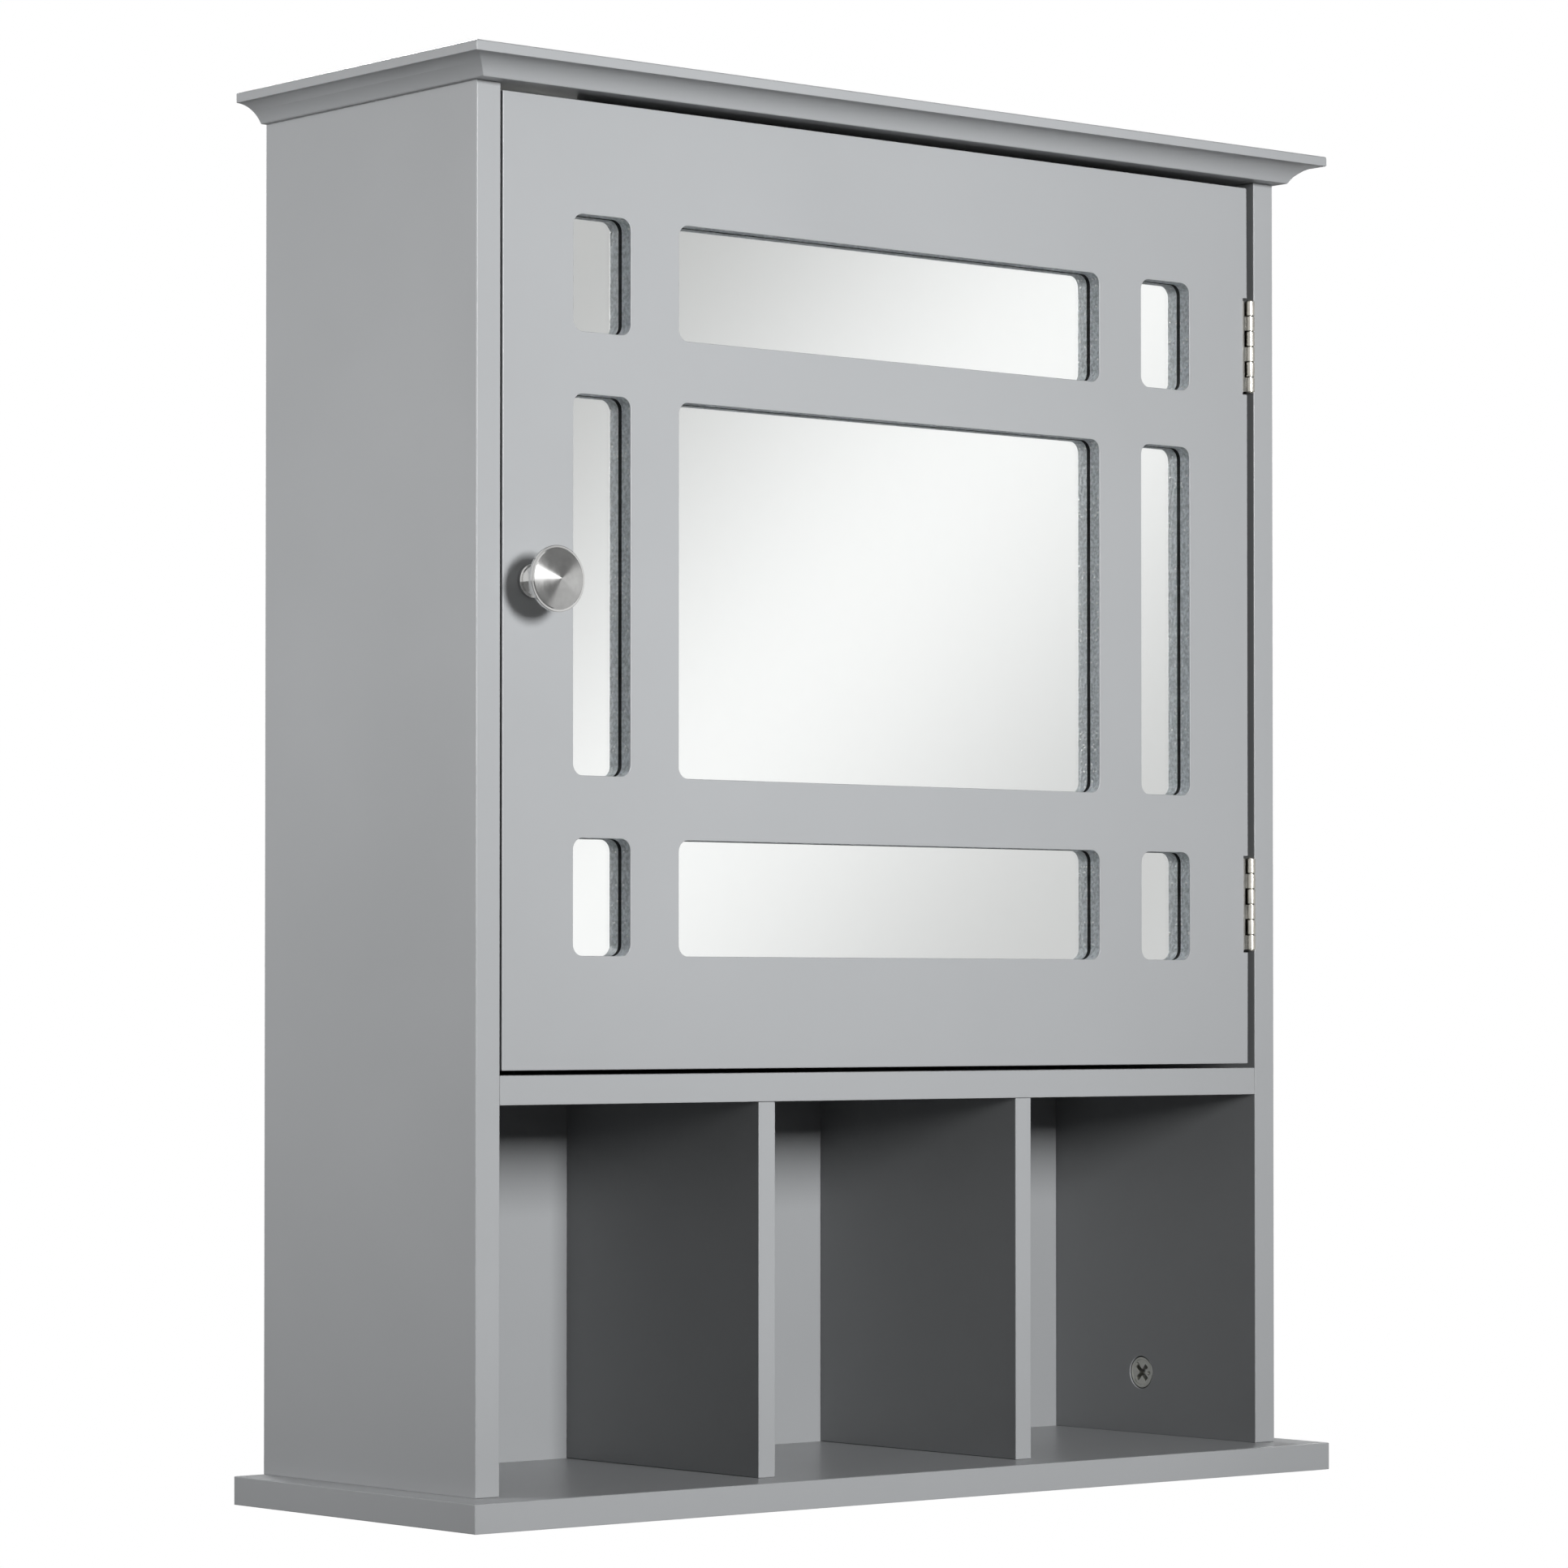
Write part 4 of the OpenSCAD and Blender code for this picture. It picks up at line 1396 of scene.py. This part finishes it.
@dataclass
class Hinge:
    """One butt hinge: two leaves with three knuckles each, and a pin through them."""

    nodes: Nodes
    name: str
    edge: float = 0.26 * MM
    dome_steps: int = 6

    def leaf(self, side: str, body: Body) -> None:
        """Makes one leaf with its knuckles.

        Args:
            side: Whose leaf it is, cabinet or door.
            body: The body that it rides on.
        """
        node = f"{self.name}_hinge_{side}_leaf"
        leaf = Piece.cast(self.nodes[node], f"{self.name}_{side}_leaf")
        leaf.round_edges(is_corner, self.edge, 2)
        leaf.dress(NICKEL, body, node).smooth(35)
        axis = Box.of(f"{self.name}_hinge_pin").centre.y
        # Front-facing leaf faces behind the pin's axis are darkened as painted shade.
        leaf.paint_faces(
            LEAF_EDGE_PAINTED_SHADE,
            lambda f: f.normal.y < -0.8 and f.calc_center_median().y > axis - self.edge,
        )

    def pin(self) -> None:
        """Makes the pin, with a domed head at each end."""
        node = f"{self.name}_hinge_pin"
        box = Box.of(node)
        head_r = box.size.x / 2
        shank_r = head_r - 0.6 * MM
        length = box.size.z
        head_h = 0.5 * MM
        dome = [
            (head_r * math.cos(t), head_h * math.sin(t))
            for t in (math.radians(84 * i / self.dome_steps) for i in range(self.dome_steps + 1))
        ]
        top = [(r, length / 2 - head_h + h) for r, h in dome]
        low = [(r, -h) for r, h in reversed(top)]
        shank = [(shank_r, -length / 2 + head_h), (shank_r, length / 2 - head_h)]
        pin = Piece.turned("pin", low + shank + top, 32)
        placed = pin.copy_to(f"{self.name}_pin", Matrix.Translation(box.centre))
        bpy.data.objects.remove(pin.obj)
        placed.dress(NICKEL, Body.CABINET, node).smooth(35)

    def build(self) -> None:
        """Makes the hinge."""
        self.leaf("cabinet", Body.CABINET)
        self.leaf("door", Body.DOOR)
        self.pin()


@dataclass
class Knob:
    """The turned knob: a foot, a hollow neck, a banded head and a shallow sharp cone."""

    nodes: Nodes
    foot_r: float = 7.0 * MM
    foot_h: float = 2.4 * MM
    neck_r: float = 4.3 * MM
    neck_h: float = 7.0 * MM
    band_h: float = 1.5 * MM
    cone_h: float = 2.6 * MM
    edge: float = 0.25 * MM
    steps: int = 14

    def outline(self, radius: float, length: float) -> list[tuple[float, float]]:
        """Draws the knob from its foot to its point.

        Args:
            radius: The head's radius.
            length: The knob's length.

        Returns:
            Radius and height of each ring.
        """
        band_low = length - self.cone_h - self.band_h
        foot = [(self.foot_r - self.edge, 0.0), (self.foot_r, self.edge)]
        foot += arc((self.foot_r - 0.7 * MM, self.foot_h - 0.7 * MM), 0.7 * MM, 0, 80, 4)
        neck_low, neck_high = self.foot_h + 0.1 * MM, band_low - 0.5 * MM
        neck = []
        for i in range(self.steps + 1):
            height = neck_low + (neck_high - neck_low) * i / self.steps
            if height < self.neck_h:
                share = (self.neck_h - height) / (self.neck_h - neck_low)
                flare = (self.foot_r - 1.1 * MM - self.neck_r) * share**2
            else:
                share = (height - self.neck_h) / (neck_high - self.neck_h)
                flare = (radius - 0.9 * MM - self.neck_r) * share**2.3
            neck.append((self.neck_r + flare, height))
        head = [
            (radius - 0.25 * MM, band_low - 0.2 * MM), (radius, band_low),
            (radius, band_low + self.band_h - 0.15 * MM), (radius - 0.2 * MM, band_low + self.band_h),
            (radius - 0.9 * MM, band_low + self.band_h + 0.02 * MM),
        ]
        cone = [
            (radius * share, length - self.cone_h * share * 0.96)
            for share in (0.9, 0.7, 0.5, 0.3, 0.12, 0.03, 0.006)
        ]
        return foot + neck + head + cone

    def build(self) -> None:
        """Makes the knob and the screw that holds it."""
        box = Box.of("knob")
        knob = Piece.turned("turned_blank", self.outline(box.size.x / 2, box.size.y), 96)
        forward = Matrix.Rotation(math.radians(90), 4, "X")
        foot = Vector((box.centre.x, box.high.y, box.centre.z))
        placed = knob.copy_to("turned_knob", Matrix.Translation(foot) @ forward)
        bpy.data.objects.remove(knob.obj)
        placed.dress(SATIN_NICKEL, Body.DOOR, "knob").smooth(25)
        Screws(
            self.nodes["knob_screw"], Body.DOOR, Facing.WALL, 4.0 * MM, 2.2 * MM, Head.PAN
        ).build()


@dataclass
class Catch:
    """The magnetic catch under the top board and its strike plate on the door."""

    nodes: Nodes
    edge: float = 0.5 * MM

    def build(self) -> None:
        """Makes the catch."""
        housing = Piece.cast(self.nodes["catch_housing"], "catch_case")
        housing.round_edges(is_corner, self.edge, 3)
        housing.dress(PLASTIC, Body.CABINET, "catch_housing").smooth()
        plate(self.nodes["catch_magnet"], FERRITE)
        poles = Piece.cast(self.nodes["catch_pole_plates"], "catch_poles")
        poles.round_edges(is_corner, 0.12 * MM, 2)
        poles.dress(ZINC_PLATE, Body.CABINET, "catch_pole_plates").smooth()
        strike = Piece.cast(self.nodes["strike_plate"], "strike")
        strike.ease(Box.of("strike_plate"), 0.15 * MM, 2)
        strike.dress(ZINC_PLATE, Body.DOOR, "strike_plate").smooth()
        Screws(
            self.nodes["catch_screws"], Body.CABINET, Facing.DOWN, 3.0 * MM, 1.8 * MM, Head.PAN
        ).build()
        Screws(self.nodes["strike_screws"], Body.DOOR, Facing.WALL, 3.0 * MM, 0.7 * MM).build()


# ---- studio ----


@dataclass(frozen=True)
class SoftBox:
    """A soft area light."""

    name: str
    place: tuple[float, float, float]
    aim: tuple[float, float, float]
    width: float
    height: float
    power: float
    spread: float
    colour: Colour = (1.0, 1.0, 1.0)

    def build(self) -> None:
        """Hangs the light."""
        light = bpy.data.lights.new(self.name, "AREA")
        light.shape = "RECTANGLE"
        light.size, light.size_y = self.width, self.height
        light.energy, light.color = self.power, self.colour
        light.spread = math.radians(self.spread)
        obj = put_in_scene(self.name, light)
        obj.location = self.place
        way = Vector(self.aim) - Vector(self.place)
        obj.rotation_euler = way.to_track_quat("-Z", "Y").to_euler()
        obj.visible_camera = False


@dataclass
class Studio:
    """A plain pale floor, a white surround, four soft lights and the camera."""

    floor_z: float = -1.25
    floor_size: float = 24.0
    camera_at: tuple[float, float, float] = (-1.5412, -1.9260, -0.3420)
    camera_turn: float = -39.75
    camera_pitch: float = 1.133
    camera_shift: float = 0.07
    lens: float = 126.15
    sensor: float = 36.0
    ambient: float = 0.035
    streak: float = 1.02
    streak_reach: float = 0.076
    panel_right: float = 0.66
    panel_left: float = 0.575
    room: float = 0.2
    left_room: float = 0.6
    left_turn: tuple[float, float, float] = (-150, 4, 16)
    streak_across: tuple[float, float, float] = (0.6127, 0.4594, -0.6431)
    streak_blend: float = 0.02
    panel_turn: tuple[float, float, float] = (30, 90, 8)
    panel_rise: tuple[float, float, float] = (-40, 9, 6)
    glint: float = 2.5
    glint_turn: tuple[float, float, float] = (17, 24, 3)
    glint_rise: tuple[float, float, float] = (4.5, 11, 2)
    floor_glow: float = 0.55
    floor_turn: tuple[float, float, float] = (30, 120, 6)
    lights: tuple[SoftBox, ...] = (
        SoftBox("key", (-0.15, -2.66, 0.26), (-0.08, -0.15, -0.10), 0.5, 0.66, 7.15, 52),
        SoftBox("left fill", (-1.4, 0.52, -0.02), (-0.225, -0.12, -0.10), 0.46, 0.7, 3.45, 84),
        SoftBox("right fill", (1.4, 0.52, -0.02), (0.225, -0.12, -0.10), 0.46, 0.7, 3.2, 84),
        SoftBox("top fill", (0.35, 1.15, 1.05), (0.02, -0.07, 0.04), 0.5, 0.5, 3.4, 56),
    )

    def camera(self) -> None:
        """Sets up the camera."""
        data = bpy.data.cameras.new("camera")
        data.lens, data.sensor_width = self.lens, self.sensor
        data.shift_y = self.camera_shift
        data.clip_start, data.clip_end = 0.05, 60.0
        camera = put_in_scene("camera", data)
        camera.location = self.camera_at
        camera.rotation_euler = (
            math.radians(90 + self.camera_pitch), 0.0, math.radians(self.camera_turn)
        )
        bpy.context.scene.camera = camera

    def reflected(self, graph: Graph) -> bpy.types.NodeSocket:
        """Lays out what mirrors and metal see: a pale panel with a soft slanting streak of light.

        Args:
            graph: The surround's nodes.

        Returns:
            The brightness in each direction.
        """
        way = graph.add("TexCoord").outputs["Generated"]
        part = graph.add("SeparateXYZ", {0: way}).outputs
        slant = {0: way, 1: self.streak_across}
        off = graph.add("VectorMath", slant, operation="DOT_PRODUCT").outputs["Value"]
        soft = self.streak_blend
        side = graph.spread(off, self.panel_left, self.panel_right, -soft, soft)
        near = graph.soft_step(graph.math("ABSOLUTE", off), self.streak_reach, 0.0)
        panel = graph.math("ADD", side, graph.math(
            "MULTIPLY", near, graph.math("SUBTRACT", self.streak, side)
        ))
        turn = graph.azimuth(part)
        rise = graph.math("ARCSINE", part["Z"])
        wide = graph.window(turn, *self.panel_turn)
        inside = graph.math("MULTIPLY", wide, graph.window(rise, *self.panel_rise))
        above = graph.math("SUBTRACT", panel, self.room)
        left = graph.math("MULTIPLY", graph.window(turn, *self.left_turn), self.left_room)
        pale = graph.math("ADD", graph.math("MULTIPLY", inside, above), left)
        patch = graph.math(
            "MULTIPLY", graph.window(turn, *self.glint_turn), graph.window(rise, *self.glint_rise)
        )
        glint = graph.math("MULTIPLY", patch, self.glint)
        return graph.math("ADD", self.room, graph.math("ADD", pale, glint))

    def surround(self) -> None:
        """Makes the surround: white behind the object, soft and graded in its reflections."""
        world = bpy.data.worlds.new("surround")
        bpy.context.scene.world = world
        world.use_nodes = True
        tree = world.node_tree
        tree.nodes.clear()
        graph = Graph(tree)
        path = graph.add("LightPath")
        level = graph.blend(path.outputs["Is Diffuse Ray"], self.reflected(graph), self.ambient)
        final = graph.blend(path.outputs["Is Camera Ray"], level, 1.0)
        shade = graph.add("Background", {"Color": (1, 1, 1, 1), "Strength": final})
        graph.add("OutputWorld", {"Surface": shade.outputs[0]})

    def floor(self) -> None:
        """Lays the floor: pale, and as white as the surround where the camera sees it."""
        bpy.ops.object.select_all(action="DESELECT")
        bpy.ops.mesh.primitive_plane_add(size=self.floor_size, location=(0, 0, self.floor_z))
        floor = bpy.context.active_object
        floor.name = "studio_floor"
        material = bpy.data.materials.new("studio floor")
        material.use_nodes = True
        tree = material.node_tree
        tree.nodes.clear()
        graph = Graph(tree)
        pale = graph.add("BsdfDiffuse", {"Color": (0.8, 0.8, 0.8, 1.0)})
        white = graph.add("Emission", {"Color": (1.0, 1.0, 1.0, 1.0), "Strength": 1.0})
        seen = graph.add("LightPath").outputs["Is Camera Ray"]
        place = graph.add("SeparateXYZ", {0: graph.add("TexCoord").outputs["Object"]}).outputs
        turn = graph.azimuth(place)
        lit = graph.blend(graph.window(turn, *self.floor_turn), self.room, self.floor_glow)
        glow = graph.add("Emission", {"Color": (1.0, 1.0, 1.0, 1.0), "Strength": lit})
        shiny = graph.add("LightPath").outputs["Is Glossy Ray"]
        mixed = graph.add("MixShader", {0: shiny, 1: pale.outputs[0], 2: glow.outputs[0]})
        both = graph.add("MixShader", {0: seen, 1: mixed.outputs[0], 2: white.outputs[0]})
        graph.add("OutputMaterial", {"Surface": both.outputs[0]})
        floor.data.materials.append(material)

    def build(self) -> None:
        """Sets up the studio."""
        self.camera()
        self.surround()
        self.floor()
        for light in self.lights:
            light.build()
        bpy.context.scene.view_settings.view_transform = "Standard"


def main() -> None:
    """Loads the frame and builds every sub-assembly round it."""
    logging.basicConfig(level=logging.INFO, format="%(message)s")
    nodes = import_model()["nodes"]
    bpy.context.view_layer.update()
    Studio().build()
    Carcass(nodes).build()
    LooseShelf(nodes).build()
    Door(nodes).build()
    for name in ("upper", "lower"):
        Hinge(nodes, name).build()
    for node, body, facing in (
        ("hinge_cabinet_screws", Body.CABINET, Facing.LEFT),
        ("hinge_door_screws", Body.DOOR, Facing.RIGHT),
    ):
        Screws(nodes[node], body, facing, 2.5 * MM, 0.9 * MM, finish=NICKEL).build()
    Knob(nodes).build()
    Catch(nodes).build()


if __name__ == "__main__":
    main()
